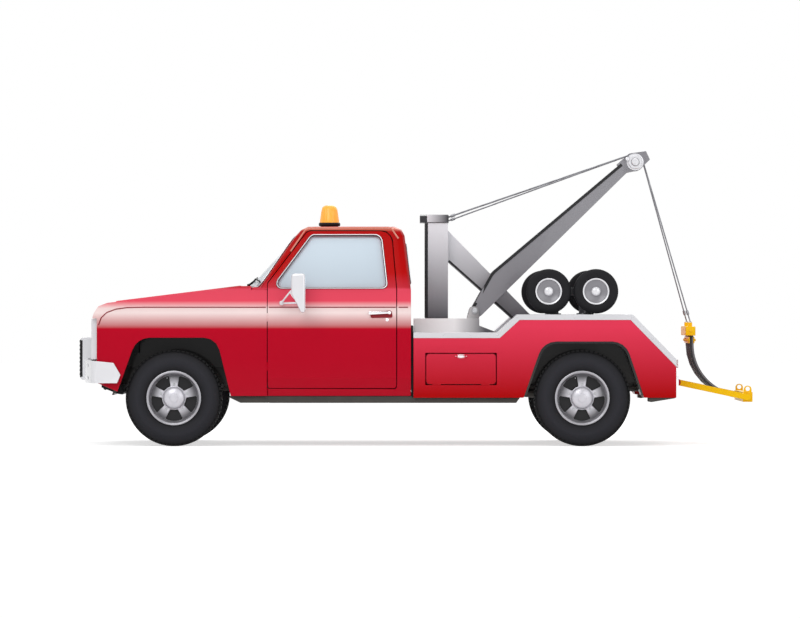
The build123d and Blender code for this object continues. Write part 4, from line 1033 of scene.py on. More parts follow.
PLAIN_SOLIDS = (
    # finish, rounding (None: the setting's), least angle and edge length to round, smoothing angle, solids
    ("black", None, 50, 0.03, 48, "frame"),
    ("axle", 0.002, 50, 0.03, 48, "front_axle rear_axle knuckle_left knuckle_right"),
    ("cast", 0.012, 50, 0.03, 48, "engine"),
    ("axle", 0.004, 50, 0.03, 48, "driveline"),
    ("exhaust", 0.0, 50, 0.03, 48, "exhaust"),
    ("black", 0.008, 50, 0.03, 48, "fuel_tank"),
    ("axle", 0.0, 50, 0.03, 62, "tie_rod"),
    ("black", 0.0, 50, 0.03, 40, "inner_panels rear_liner_left rear_liner_right"),
    ("body", 0.006, 7, 0.05, 32, "cab_shell hood"),
    ("body", 0.005, 7, 0.04, 32, "fenders"),
    ("body", 0.005, 7, 0.05, 32, "door_left door_right"),
    ("glass", 0.0, 50, 0.05, 30, "cab_glass door_glass_left door_glass_right"),
    ("plastic", 0.006, 50, 0.05, 45, "dashboard"),
    ("white_metal", 0.004, 50, 0.03, 35, "front_bumper"),
    ("white_metal", 0.004, 50, 0.03, 48, "push_guards"),
    ("bed", 0.004, 20, 0.04, 35, "bed_sides"),
    ("cap", None, 50, 0.05, 20, "deck_plates"),
    ("bed", None, 50, 0.03, 35, "tail_panel"),
    ("bed", 0.004, 50, 0.03, 35, "toolbox_door_left toolbox_door_right"),
    ("pedestal", 0.004, 50, 0.03, 35, "pedestal"),
    ("mast", None, 50, 0.03, 35, "mast"),
    ("dark", None, 50, 0.03, 35, "mast_head"),
    ("boom", None, 50, 0.03, 40, "boom"),
    ("yellow", 0.004, 50, 0.02, 35, "sling_bars"),
    ("belt", None, 50, 0.03, 35, "sling_belts"),
    ("yellow", 0.002, 50, 0.03, 40, "sling_struts"),
    ("yellow", 0.001, 50, 0.02, 40, "chain_lugs"),
    ("dark", None, 50, 0.03, 40, "dolly_frames"),
    ("white_metal", None, 50, 0.02, 35, "grille"),
)


class TOWTRUCK_OT_finishes(Operator):
    """Build the finishes and give each solid its own"""

    bl_idname = "tow_truck.finishes"
    bl_label = "Finishes and solids"

    def execute(self, context):
        materials.update(material_table())
        for finish, width, limit, least, smooth, nodes in PLAIN_SOLIDS:
            for node in nodes.split():
                eased(node, materials[finish], width, limit, least, smooth)
        return {"FINISHED"}


# Wheels

TYRE_RADIUS = 0.395
HUB_RADIUS = 0.09
SPOKES = 5
SIDES = (("right", 1), ("left", -1))


def wheel_spots(pattern):
    """Each wheel's place word, side and the placement of the middle of its solid, on the right side."""
    for end in ("front", "rear"):
        for word, side in SIDES:
            spot = f"{end}_{word}"
            centre = middle_of(pattern.format(spot))
            yield spot, side, shifted((centre.x, abs(centre.y), centre.z))


def block_ring(form, count, radius_low, radius_high, y0, y1, share, lean, phase):
    """Tread blocks round a tyre between two widths, each leaning by lean metres."""
    half = pi / count * share
    for i in range(count):
        middle = tau * (i + phase) / count
        pairs = []
        for y, shift in ((y0, -lean), (y1, lean)):
            turn = middle + shift / radius_high
            for radius, reach in ((radius_low, half * 1.06), (radius_high, half)):
                pairs.append([(radius * cos(a), y, radius * sin(a)) for a in (turn - reach, turn + reach)])
        (a, b), (c, d), (e, f), (g, h) = pairs
        verts = [form.verts.new(p) for p in (a, b, d, c, e, f, h, g)]
        for loop in ((0, 1, 2, 3), (7, 6, 5, 4), (3, 2, 6, 7), (0, 4, 5, 1), (1, 5, 6, 2), (0, 3, 7, 4)):
            form.faces.new([verts[k] for k in loop])


def ring_of(profile, sides):
    """A turned part about the Y axis from (radius, offset) corners."""
    return moved(turned(profile, sides), Matrix.Rotation(-pi / 2, 4, "X"))


def road_tyre():
    """A radial tyre: moulded sidewalls, grooved tread and shoulder lugs, about the Y axis."""
    crown = TYRE_RADIUS - sizes().tread_deep
    half = mm((208.3, 74), (213, 83), (224, 88), (232, 86), (246, 97), (274, 105))
    half += mm((300, 107.5), (318, 107.5), (322, 105.5), (345, 103), (366, 96), (380, 86))
    half += [(crown, 0.074), (crown + 0.0008, 0.03)]
    form = joined(ring_of(half + [(r, -y) for r, y in reversed(half)], 96))
    rows = (
        (-0.0905, -0.0535, 0.34, 0.0),
        (-0.0475, -0.0205, 0.4, 0.007),
        (-0.0145, 0.0145, 0.4, -0.006),
        (0.0205, 0.0475, 0.4, 0.007),
        (0.0535, 0.0905, 0.34, 0.0),
    )
    for k, (y0, y1, share, lean) in enumerate(rows):
        high = TYRE_RADIUS if abs(y0 + y1) < 0.1 else TYRE_RADIUS - 0.002
        block_ring(form, sizes().tread_pitches, crown - 0.006, high, y0, y1, share * 1.9, lean, 0.5 * (k % 2))
    return form


def rim_dish(radius):
    """How far out the spoked disc stands at a radius."""
    return 0.03 - 0.02 * (max(radius - HUB_RADIUS, 0) / 0.115) ** 2


def road_rim():
    """The rim's flange and barrel with the five-spoke disc and hub dome; the outer face looks to +Y."""
    flange = mm((206, 62), (211, 78), (222.5, 86), (222.5, 90.5), (216, 92.5), (206, 88))
    flange += mm((199, 70), (196, 30), (188, 10), (188, -60), (199, -86), (222.5, -90.5))
    flange += mm((222.5, -84), (207, -78), (202, -55), (196, -50), (196, 0), (202, 40))
    window = (
        (0.101, -0.86), (0.188, -1), (0.188, -0.34), (0.1895, 0), (0.188, 0.34), (0.188, 1), (0.101, 0.86)
    )
    windows = []
    for i in range(SPOKES):
        corners = []
        for radius, share in window:
            angle = tau * i / SPOKES - pi / 2 + radians(22.5) * share
            ease = (0.012,) if abs(share) > 0.5 else ()
            corners.append((radius * cos(angle), radius * sin(angle), *ease))
        windows.append(rounded(corners, 6))
    place = lambda a, b, depth: Vector((a, rim_dish(hypot(a, b)) - depth, b))
    disc = plate_part([Vector(p) for p in circle(80, 0.1985)], windows, place, 0.012, 0.004, grid=0.016)
    dome = mm((0, 20), (88, 20), (90, 34), (89.5, 47), (84, 60), (70, 70))
    dome += mm((45, 78), (36, 80), (34, 84), (18, 87), (0, 87.5))
    bead = circle(8, 0.004, 0.0935, 0.034)
    return joined(ring_of(flange, 96), disc, ring_of(dome, 64), ring_of(bead, 64))


def wheel_nuts():
    """Nuts between the hub and the windows, one on each spoke's root, and the valve's stem."""
    form = bmesh.new()
    for i in range(SPOKES):
        angle = tau * (i + 0.5) / SPOKES - pi / 2
        spot = Vector((0.1135 * cos(angle), rim_dish(0.1135) - 0.001, 0.1135 * sin(angle)))
        merged(form, bolt(0.0095, 1.25), outward(spot))
    stem = Vector((0.172 * cos(1.9), 0.022, 0.172 * sin(1.9)))
    merged(form, bar_part(stem, stem + Vector((0, 0.03, 0)), 0.004, 10))
    return form


def spoke_shade_disc():
    """A dark disc close behind the spokes: painted shade in the windows between them."""
    return ring_of(mm((80, 0), (186.5, -4), (186.5, -10), (80, -8)), 64)


def brake_drum():
    profile = mm((0, -43), (150, -43), (158, -38), (158, -18), (150, -12), (88, -10))
    return ring_of(profile + [(0.0, -0.01)], 64)


class TOWTRUCK_OT_road_wheels(Operator):
    """Build the four road wheels with tyres, spoked rims, nuts and drums"""

    bl_idname = "tow_truck.road_wheels"
    bl_label = "Road wheels"

    def execute(self, context):
        parts = (
            ("tread", road_tyre, "tyre", "tyre", "tyre_{}", 30),
            ("rim", road_rim, "rim", "rim_silver", "wheel_{}", 35),
            ("nuts", wheel_nuts, "steel", "rim_silver", None, 35),
            ("drum", brake_drum, "black", "axle_steel", None, 35),
            # The dark disc behind the spokes is painted shade in the wheel's windows
            ("spoke_shade", spoke_shade_disc, "shade_and_grille_black", "axle_steel", None, 35),
        )
        for spot, side, place in wheel_spots("tyre_{}"):
            for part, builder, finish, slot, node, smooth in parts:
                form, replaced = moved(builder(), place), (node.format(spot),) if node else ()
                piece(f"road_{part}_{spot}", form, finish, f"wheel_{spot}", slot, replaced, smooth, side)
        return {"FINISHED"}


def dolly_tyre():
    half = mm((106.5, 36), (112, 43), (128, 46), (150, 46), (168, 42), (178, 34))
    half += [(0.183, 0.026)]
    profile = half[:]
    for y in (0.02, 0.004, -0.012):
        profile += [(0.183, y), (0.178, y - 0.001), (0.178, y - 0.004), (0.183, y - 0.005)]
    return ring_of(profile + [(r, -y) for r, y in reversed(half)], 72)


def dolly_ring():
    """The white rim ring of a stowed dolly wheel."""
    profile = mm((94.5, 30), (95.5, 37), (100, 41), (108, 43), (108.5, 38), (106, 30))
    profile += mm((106, -34), (100, -36), (96, -30), (96, 22))
    return ring_of(profile, 64)


def dolly_disc():
    profile = mm((0, 4), (98, 6), (98, 26), (92, 31), (66, 21), (44, 17))
    return ring_of(profile + [(0.0, 0.016)], 64)


def dolly_hub():
    return ring_of(mm((0, 8), (38, 10), (37, 28), (32, 35), (24, 40), (0, 42)), 48)


class TOWTRUCK_OT_dolly_wheels(Operator):
    """Build the four stowed dolly wheels"""

    bl_idname = "tow_truck.dolly_wheels"
    bl_label = "Dolly wheels"

    def execute(self, context):
        parts = (
            ("tread", dolly_tyre, "dolly_tyre", "tyre", True),
            ("ring", dolly_ring, "white_metal", "rim_silver", False),
            ("disc", dolly_disc, "boom", "grey_paint", False),
            ("hub", dolly_hub, "white_metal", "rim_silver", False),
        )
        for spot, side, place in wheel_spots("dolly_wheel_{}"):
            wheel = f"dolly_wheel_{spot}"
            for part, builder, finish, slot, stands_in in parts:
                replaced = (wheel,) if stands_in else ()
                piece(f"{wheel}_{part}", moved(builder(), place), finish, wheel, slot, replaced, 32, side)
        return {"FINISHED"}


# Trim laid on the solids

SIDE_START = 1.6  # where the rays that find the right side start, out from the centre line
INWARD = Vector((0, -1, 0))
REARWARD = Vector((1, 0, 0))
FORWARD = Vector((-1, 0, 0))

skins = {}


def skin(*nodes):
    """A search tree over the faces of solids, for setting trim on their surface."""
    if nodes not in skins:
        places, faces = [], []
        for node in nodes:
            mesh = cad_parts[node].data
            first = len(places)
            places += [v.co.copy() for v in mesh.vertices]
            faces += [[first + i for i in face.vertices] for face in mesh.polygons]
        skins[nodes] = BVHTree.FromPolygons(places, faces)
    return skins[nodes]


def laid(nodes, starts, direction, lift=0.0):
    """The starts dropped along a direction onto solids and lifted off their skin; misses are left out."""
    tree = skin(*nodes)
    found = []
    for start in starts:
        hit, normal, _, _ = tree.ray_cast(start, direction)
        if hit is not None:
            found.append(hit + normal * (lift if normal.dot(direction) < 0 else -lift))
    return found


def stepped(points, step=0.04, cyclic=False):
    """A line of 2-D or 3-D points with more points between them."""
    ends = points[1:] + (points[:1] if cyclic else [])
    made = []
    for start, end in zip(points, ends):
        start, end = Vector(start), Vector(end)
        count = max(1, round((end - start).length / step))
        made += [start.lerp(end, i / count) for i in range(count)]
    return made if cyclic else made + [Vector(points[-1])]


def side_line(nodes, points, lift=0.0, step=0.04, cyclic=False):
    """A line given in side view, laid on the right side of solids."""
    starts = [at(p.x, SIDE_START, p.y) for p in stepped([Vector(p[:2]) for p in points], step, cyclic)]
    return laid(nodes, starts, INWARD, lift)


def end_line(nodes, points, x, direction, lift=0.0, step=0.04):
    """A closed line given in end view, laid on the front or the back of solids."""
    starts = [at(x, p.x, p.y) for p in stepped([Vector(p[:2]) for p in points], step, True)]
    return laid(nodes, starts, direction, lift)


def face_out(node, x, z):
    """How far out a solid's right side is at a place in side view."""
    return side_line((node,), [(x, z)])[0].y


def side_plate(outline, y0, y1, ease=0.002, holes=(), steps=5):
    """A plate parallel to the side, its outer face at y1."""
    place = lambda a, b, depth: at(a, y1 - depth, b)
    return plate_part(rounded(outline, steps), [rounded(h, steps) for h in holes], place, y1 - y0, ease)


def end_plate(outline, x, thick, facing, ease=0.002, holes=(), crown=0.0, grid=0.0):
    """A plate across the truck with its outer face at x, facing -1 to the front or 1 to the back."""
    loop = rounded(outline)
    low = Vector((min(p.x for p in loop), min(p.y for p in loop)))
    high = Vector((max(p.x for p in loop), max(p.y for p in loop)))
    middle, reach = (low + high) / 2, (high - low) / 2

    def place(a, b, depth):
        bulge = (1 - ((a - middle.x) / reach.x) ** 2) * (1 - ((b - middle.y) / reach.y) ** 2)
        return at(x + facing * (crown * max(bulge, 0.0) - depth), a, b)

    return plate_part(loop, [rounded(h) for h in holes], place, thick, ease, grid)


def corners_of(a0, a1, b0, b1, radius):
    return [(a0, b0, radius), (a1, b0, radius), (a1, b1, radius), (a0, b1, radius)]


def inner_corners(a0, a1, b0, b1, rim, radius=0.012):
    """The corners of an oblong drawn in by a rim."""
    return corners_of(a0 + rim, a1 - rim, b0 + rim, b1 - rim, radius)


STRIP_SUNK = 0.004  # how far a strip reaches into the face that it lies on


def strip(points, wide, y_of, proud):
    """A flat strip along a side-view line, to its right, on a face whose y follows x."""
    rings = []
    for i, here in enumerate(points):
        ahead = points[min(i + 1, len(points) - 1)] - points[max(i - 1, 0)]
        far = here + Vector((ahead.y, -ahead.x)).normalized() * wide
        under, over = y_of(here.x) - STRIP_SUNK, y_of(here.x) + proud
        ends = ((here, under), (here, over), (far, over), (far, under))
        rings.append([at(p.x, y, p.y) for p, y in ends])
    return loft(rings)


def both_sides(name, build, finish, body="root", slot=None, replaces=(), smooth=38):
    """A piece on the right and its mirror image on the left; names and bodies take the side's word."""
    for word, side in SIDES:
        stands_for = tuple(node.format(word) for node in replaces)
        piece(f"{name}_{word}", build(), finish, body.format(word), slot, stands_for, smooth, side)


def window_line(corners, grow):
    """A window's rounded outline moved out by grow."""
    loop = rounded(corners, 6)
    if loop_area(loop) < 0:
        loop.reverse()
    return inset_loop(loop, -grow)


DOOR = ("door_right",)
CAB = ("cab_shell",)
SIDE_WINDOW = mm((846, 1300, 30), (856, 1352, 25), (1128, 1722, 45), (1690, 1722, 50), (1738, 1300, 30))
WINDSHIELD = mm((-862, 1308, 38), (-700, 1706, 38), (700, 1706, 38), (862, 1308, 38))
REAR_WINDOW = mm((-600, 1345, 38), (-560, 1650, 38), (560, 1650, 38), (600, 1345, 38))
SHOULDER_HIGH = 1.137
FENDER_SHOULDER = [
    (-0.612, 0.992), (-0.59, 1.052), (-0.545, 1.094), (-0.47, 1.122), (-0.38, 1.134), (-0.25, SHOULDER_HIGH),
    (0.756, SHOULDER_HIGH),
]


class TOWTRUCK_OT_window_trim(Operator):
    """Build the rubber gaskets and bright beads round the windows, and the wipers"""

    bl_idname = "tow_truck.window_trim"
    bl_label = "Window trim"

    def execute(self, context):
        ends = (("windshield", WINDSHIELD, -0.3, REARWARD), ("rear_window", REAR_WINDOW, 2.4, FORWARD))
        for name, radius, lift, grow, finish in (
            ("gasket", 0.008, 0.0, 0.007, "seal"),
            ("bead", 0.0042, 0.0055, 0.008, "white_metal"),
        ):
            line = side_line(DOOR, window_line(SIDE_WINDOW, grow), lift, 0.02, True)
            both_sides(f"side_window_{name}", lambda: tube(line, radius, 8, True), finish, "door_{}")
            for place, corners, x, direction in ends:
                loop = end_line(CAB, window_line(corners, grow), x, direction, lift, 0.03)
                piece(f"{place}_{name}", tube(loop, radius, 8, True), finish)
        form = bmesh.new()
        screen = ("cab_glass", "cab_shell")
        on_glass = lambda spots, lift: laid(screen, [at(-0.3, *p) for p in spots], REARWARD, lift)
        for y in (-0.46, 0.22):
            blade = [(y - 0.22 + 0.44 * i / 12, 1.345 + 0.03 * i / 12) for i in range(13)]
            merged(form, tube(on_glass(blade, 0.012), 0.008, 8, squash=0.6))
            arm = on_glass([(y + 0.02, 1.306), (y, 1.335), (y, 1.36)], 0.022)
            merged(form, tube(arm, 0.0065, 8))
            merged(form, bolt(0.01), along(arm[0], arm[0] + FORWARD))
        piece("wipers", form, "plastic")
        return {"FINISHED"}


def door_seal():
    """A rubber in the gap round the door, laid just under the cab's and the fender's skin."""
    outline = mm((769, 476, 20), (769, 1333, 30), (1094, 1762, 50), (1778, 1762, 95))
    outline += [(1.82, 1.285, 0.02), (1.82, 0.476, 0.02)]
    middle = Vector((1.3, 1.1))
    points = []
    for near in stepped(window_line(outline, 0.0046), 0.05, True):
        far = near + (near - middle).normalized() * 0.009
        hit = laid(("cab_shell", "fenders"), [at(far.x, SIDE_START, far.y)], INWARD)
        if hit and hit[0].y > 0.6:
            points.append(at(near.x, hit[0].y - 0.018, near.y))
    return tube(points, 0.0043, 6, True)


class TOWTRUCK_OT_body_lines(Operator):
    """Build the shoulder mouldings, drip rails, door locks, the black fillers of the body and a black sheet
    of painted shade between cab and bed
    """

    bl_idname = "tow_truck.body_lines"
    bl_label = "Body lines and fillers"

    def execute(self, context):
        both_sides("door_seal", door_seal, "seal")
        for name, nodes, line, body in (
            ("fender", ("fenders",), FENDER_SHOULDER, "root"),
            ("door", DOOR, [(0.778, SHOULDER_HIGH), (1.816, SHOULDER_HIGH)], "door_{}"),
            ("cab", CAB, [(1.838, SHOULDER_HIGH), (1.915, SHOULDER_HIGH)], "root"),
        ):
            moulding = lambda: tube(side_line(nodes, line, 0.0005, 0.03), 0.0045, 8)
            both_sides(f"{name}_moulding", moulding, "line_red", body)
        # The drip rails carry the painted highlight of the roof edge
        rail = mm((785, 1345), (1075, 1768), (1115, 1782), (1780, 1782), (1835, 1700))
        both_sides("drip_rail", lambda: tube(side_line(CAB, rail, 0.004, 0.03), 0.007, 8), "roof")
        lock = mm((0, 0), (13, 0), (13, 3), (9, 5), (4, 4.5), (0, 3.5))
        keyhole = outward(side_line(DOOR, [(1.745, 1.035)])[0])
        both_sides("door_lock", lambda: moved(turned(lock, 24), keyhole), "chrome", "door_{}")
        # A black sheet that fills the gap between cab and bed: painted shade where the gap is dark
        seam = joined(
            block(at(1.9415, -0.965, 0.66), at(1.9585, 0.965, 0.985), 0.004),
            block(at(1.9415, 0.84, 0.43), at(1.9585, 0.975, 0.665), 0.004),
            block(at(1.9415, -0.975, 0.43), at(1.9585, -0.84, 0.665), 0.004),
        )
        piece("cab_bed_gap_shade", seam, "seal")
        front = mm((-604, 515), (-445, 500), (-418, 440), (-436, 419), (-470, 424), (-607, 478))
        piece("front_valance", side_plate(front, -0.69, 0.69, 0.004), "plastic", smooth=30)
        nose = mm((458, 413), (775, 413), (775, 356), (545, 356, 30), (458, 398, 6))
        both_sides("sill_nose", lambda: side_plate(nose, 0.902, 0.958, 0.004), "black")
        skirt = mm((3880, 402), (4100, 402), (4100, 394, 4), (3905, 362, 10), (3880, 366))
        both_sides("tail_skirt", lambda: side_plate(skirt, 0.8, 0.985, 0.003), "black")
        return {"FINISHED"}


def lamp_bulge(y0, y1, z0, z1, x, facing):
    return end_plate(corners_of(y0, y1, z0, z1, 0.012), x, 0.016, facing, 0.004, crown=0.007, grid=0.02)


class TOWTRUCK_OT_lamps(Operator):
    """Build the head, park and tail lamps with bezels, reflectors and ribbed lenses"""

    bl_idname = "tow_truck.lamps"
    bl_label = "Lamps"

    def execute(self, context):
        low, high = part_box("lamps")
        nose, tail = low.x - front_axle, high.x - front_axle
        head, park, back = (0.634, 0.908, 0.842, 1.0), (0.634, 0.908, 0.752, 0.832), (0.78, 0.94, 0.48, 0.64)
        front_lens = lambda z0, z1: lamp_bulge(0.648, 0.894, z0, z1, nose + 0.005, -1)
        back_lens = lambda z0, z1: lamp_bulge(0.791, 0.929, z0, z1, tail - 0.005, 1)
        for word, side in SIDES:
            bezels = joined(
                end_plate(corners_of(*head, 0.018), nose, 0.034, -1, 0.005, [inner_corners(*head, 0.013)]),
                end_plate(corners_of(*park, 0.018), nose, 0.034, -1, 0.005, [inner_corners(*park, 0.013)]),
                end_plate(corners_of(*back, 0.012), tail, 0.02, 1, 0.004, [inner_corners(*back, 0.01)]),
            )
            replaced = ("lamps",) if side > 0 else ()
            piece(f"lamp_bezels_{word}", bezels, "chrome", replaces=replaced, smooth=35, side=side)
            bowl = inner_corners(*head, 0.012)
            bowls = joined(
                end_plate(bowl, nose + 0.022, 0.01, -1, 0.002, crown=-0.012, grid=0.02),
                end_plate(inner_corners(*back, 0.008), tail - 0.014, 0.004, 1, 0.001),
            )
            piece(f"lamp_bowls_{word}", bowls, "white_metal", smooth=40, side=side)
            clear = joined(front_lens(0.856, 0.986), back_lens(0.491, 0.527))
            piece(f"clear_lenses_{word}", clear, "lens", smooth=50, side=side)
            amber = joined(front_lens(0.766, 0.818), back_lens(0.53, 0.56))
            piece(f"amber_lenses_{word}", amber, "amber_lens", smooth=50, side=side)
            piece(f"red_lens_{word}", back_lens(0.563, 0.629), "red_lens", smooth=50, side=side)
        return {"FINISHED"}


class TOWTRUCK_OT_beacon(Operator):
    """Build the rotating beacon: dark foot, fluted amber dome and bulb"""

    bl_idname = "tow_truck.beacon"
    bl_label = "Beacon"

    def execute(self, context):
        low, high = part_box("beacon")
        centre = (low + high) / 2
        seat = shifted((centre.x, centre.y, low.z))
        radius, tall = (high.x - low.x) / 2, high.z - low.z
        from_rim = lambda *rows: [(radius - inward, high) for inward, high in mm(*rows)]
        foot = from_rim((21, 0), (20, 12), (3, 18), (0, 22), (0, 38), (6, 45), (12, 43), (14, 36))
        form = turned([(0, 0), *foot, (0, 0.036)], 64)
        for x, y in circle(6, radius - 0.01):
            merged(form, bolt(0.005), shifted((x, y, 0.0175)))
        piece("beacon_foot", moved(form, seat), "plastic", replaces=("beacon",))
        outer = from_rim((8, 40), (10, 60), (24, 150)) + [(radius - 0.032, tall - 0.016)]
        outer += [(radius - 0.046, tall - 0.004), (radius - 0.064, tall), (0.004, tall)]
        inner = [(max(r - 0.004, 0.002), z - 0.003) for r, z in reversed(outer)]
        rings = []
        for r, z in outer + inner:
            deep = 0.0009 if 0.045 < z < tall - 0.008 else 0.0
            flutes = [r + deep * cos(tau * i / 6) for i in range(144)]
            rings.append([(x * reach, y * reach, z) for (x, y), reach in zip(circle(144), flutes)])
        piece("beacon_dome", moved(loft(rings, caps=False), seat), "beacon", smooth=50)
        bulb = mm((0, 36), (14, 36), (16, 60), (26, 80), (30, 100), (24, 122))
        bulb += [(0.01, 0.132), (0, 0.133)]
        piece("beacon_bulb", moved(turned(bulb, 32), seat), "bulb", smooth=60)
        return {"FINISHED"}


def smooth_path(path, steps=5):
    """A rounded run through corners."""
    points = [Vector(p) for p in path]
    made = [points[0]]
    for back, here, ahead in zip(points, points[1:], points[2:]):
        start, end = here.lerp(back, 0.35), here.lerp(ahead, 0.35)
        for i in range(steps + 1):
            share = i / steps
            made.append(start.lerp(here, share).lerp(here.lerp(end, share), share))
    return made + [points[-1]]


def mirror_arms():
    """The mirror's two arms and their brace on a bolted foot, on the right door."""
    x, high, skin_y, reach = 0.884, 1.172, body_half + 0.01, body_half + 0.09
    foot = turned(mm((0, -6), (19, -6), (19, 12), (14, 18), (0, 18)), 24)
    form = moved(foot, outward(at(x, body_half, high)))
    for off in (0.012, -0.012):
        merged(form, bolt(0.004), outward(at(x + off, body_half + 0.012, high)))
    for path in (
        [(x, skin_y, 1.176), (0.915, skin_y + 0.04, 1.215), (0.955, reach, 1.262), (0.985, reach, 1.29)],
        [(x, skin_y, 1.168), (0.925, skin_y + 0.05, 1.17), (0.985, reach, high), (1.052, reach, high)],
        [(0.955, reach, 1.262), (0.985, reach, 1.215), (1.03, reach, high)],
    ):
        merged(form, tube([at(*p) for p in smooth_path(path)], 0.0078, 12))
    return form


def door_grip():
    """The door's bar handle on two feet with its button."""
    y = body_half
    bar = mm((1592, 1076, 13), (1592, 1103, 13), (1776, 1102, 10), (1776, 1086, 10))
    form = side_plate(bar, y + 0.012, y + 0.0215, 0.0045)
    for x in (1.606, 1.764):
        merged(form, bar_part(at(x, y - 0.002, 1.0915), at(x, y + 0.014, 1.0915), 0.0085, 20))
    button = ring_of(mm((0, 10), (12.5, 10), (12.5, 23.5), (10, 25.5), (0, 26)), 32)
    merged(form, button, shifted(at(1.765, y - 0.004, 1.093)))
    return form


class TOWTRUCK_OT_mirrors(Operator):
    """Build the side mirrors on their brackets and the door handles"""

    bl_idname = "tow_truck.mirrors"
    bl_label = "Mirrors and handles"

    def execute(self, context):
        half = body_half
        outline = mm((967, 1250, 35), (969, 1411, 22), (1078, 1411, 18), (1078, 1093, 16))
        outline += [(1.046, 1.093, 0.02)]
        shell = lambda: side_plate(outline, half + 0.062, half + 0.223, 0.016, steps=8)
        both_sides("mirror_shell", shell, "white_metal", "door_{}", None, ("mirror_and_handle_{}",), 40)
        pane = corners_of(half + 0.076, half + 0.209, 1.112, 1.396, 0.02)
        face = lambda: end_plate(pane, 1.0805, 0.006, 1, 0.002)
        both_sides("mirror_glass", face, "mirror", "door_{}")
        both_sides("mirror_arms", mirror_arms, "white_metal", "door_{}")
        both_sides("door_handle", door_grip, "chrome", "door_{}")
        # A darker red plate just proud of the door paints the shade in the handle's recess
        hollow = mm((1612, 1050, 12), (1604, 1096, 18), (1782, 1112, 20), (1790, 1052, 12))
        recess = lambda: side_plate(hollow, half - 0.004, half + 0.0012, 0.001, steps=6)
        both_sides("handle_recess_shade", recess, "line_red", "door_{}")
        return {"FINISHED"}


def guard_rubber():
    """The ribbed rubber on the face of a push guard."""
    form = block(at(-0.8065, 0.297, 0.552), at(-0.776, 0.363, 0.872), 0.011, 3)
    for i in range(9):
        z = 0.575 + 0.034 * i
        merged(form, block(at(-0.809, 0.303, z), at(-0.803, 0.357, z + 0.016), 0.002))
    return form


class TOWTRUCK_OT_nose(Operator):
    """Build the grille mesh, the bumper bolts, the guards' rubber noses and the front blank plate"""

    bl_idname = "tow_truck.nose"
    bl_label = "Nose details"

    def execute(self, context):
        form = bmesh.new()
        for i in range(61):
            y = -0.6 + 0.02 * i
            merged(form, block(at(-0.645, y - 0.002, 0.745), at(-0.638, y + 0.002, 1.01)))
        for i in range(9):
            z = 0.755 + 0.031 * i
            merged(form, block(at(-0.65, -0.61, z - 0.003), at(-0.64, 0.61, z + 0.003), 0.001))
        piece("grille_mesh", form, "shade_and_grille_black", slot="black_plastic")
        both_sides("guard_rubber", guard_rubber, "plastic")
        form = bmesh.new()
        rows = [at(-1.0, y, z) for y in (-0.9, -0.46, -0.2, 0.2, 0.46, 0.9) for z in (0.56, 0.66)]
        for spot in laid(("front_bumper",), rows, REARWARD):
            head = turned(mm((0, 0), (14, 0), (13, 4), (7, 7), (0, 7.5)), 20)
            merged(form, head, along(spot, spot + FORWARD))
        piece("bumper_bolts", form, "chrome")
        plate = end_plate(corners_of(-0.155, 0.155, 0.535, 0.69, 0.01), -0.7385, 0.003, -1, 0.001)
        piece("front_plate_blank", plate, "white_metal")
        return {"FINISHED"}


SHEAVE = (3.813, 2.351)
BOOM_FOOT = (2.47, 1.11)


def boom_y(x):
    """The outer face of a boom leg at a distance back."""
    share = min(max((x - 2.52) / (3.7 - 2.52), 0.0), 1.0)
    return 0.23 - 0.128 * share


def boom_bosses():
    """The cover rings on the sheave's axle and the line's pin at the boom's head."""
    form = joined(
        ring_of(mm((35, 110), (58, 110), (58.5, 113), (54, 117.5), (35, 117.5)), 48),
        ring_of(mm((0, 121), (31, 121), (31.5, 127), (25, 132), (0, 133)), 32),
        ring_of(mm((55, 100.5), (70, 100.5), (70, 106), (64, 108), (55, 106)), 48),
    )
    form.transform(shifted(at(SHEAVE[0], 0, SHEAVE[1])))
    pin = ring_of(mm((0, 121), (16, 121), (16.5, 127), (10, 131), (0, 131)), 24)
    merged(form, pin, shifted(at(3.748, 0, 2.376)))
    return form


def boom_welds():
    """Weld beads where the cross tubes meet a boom leg."""
    form = bmesh.new()
    for share, over in ((0.588, 0.045), (0.365, 0.027)):
        x = BOOM_FOOT[0] + (SHEAVE[0] - BOOM_FOOT[0]) * share
        z = BOOM_FOOT[1] + (SHEAVE[1] - BOOM_FOOT[1]) * share + over
        y = 0.169 - 0.108 * share
        merged(form, tube([at(a, y, b) for a, b in circle(24, 0.028, x, z)], 0.004, 6, True))
    return form


def pivot_nut():
    form = ring_of(mm((0, 0), (34, 0), (34, 4), (0, 4)), 32)
    merged(form, bolt(0.023, 1.1), outward(Vector((0, 0.003, 0))))
    return moved(form, shifted(at(BOOM_FOOT[0], 0.2485, BOOM_FOOT[1])))


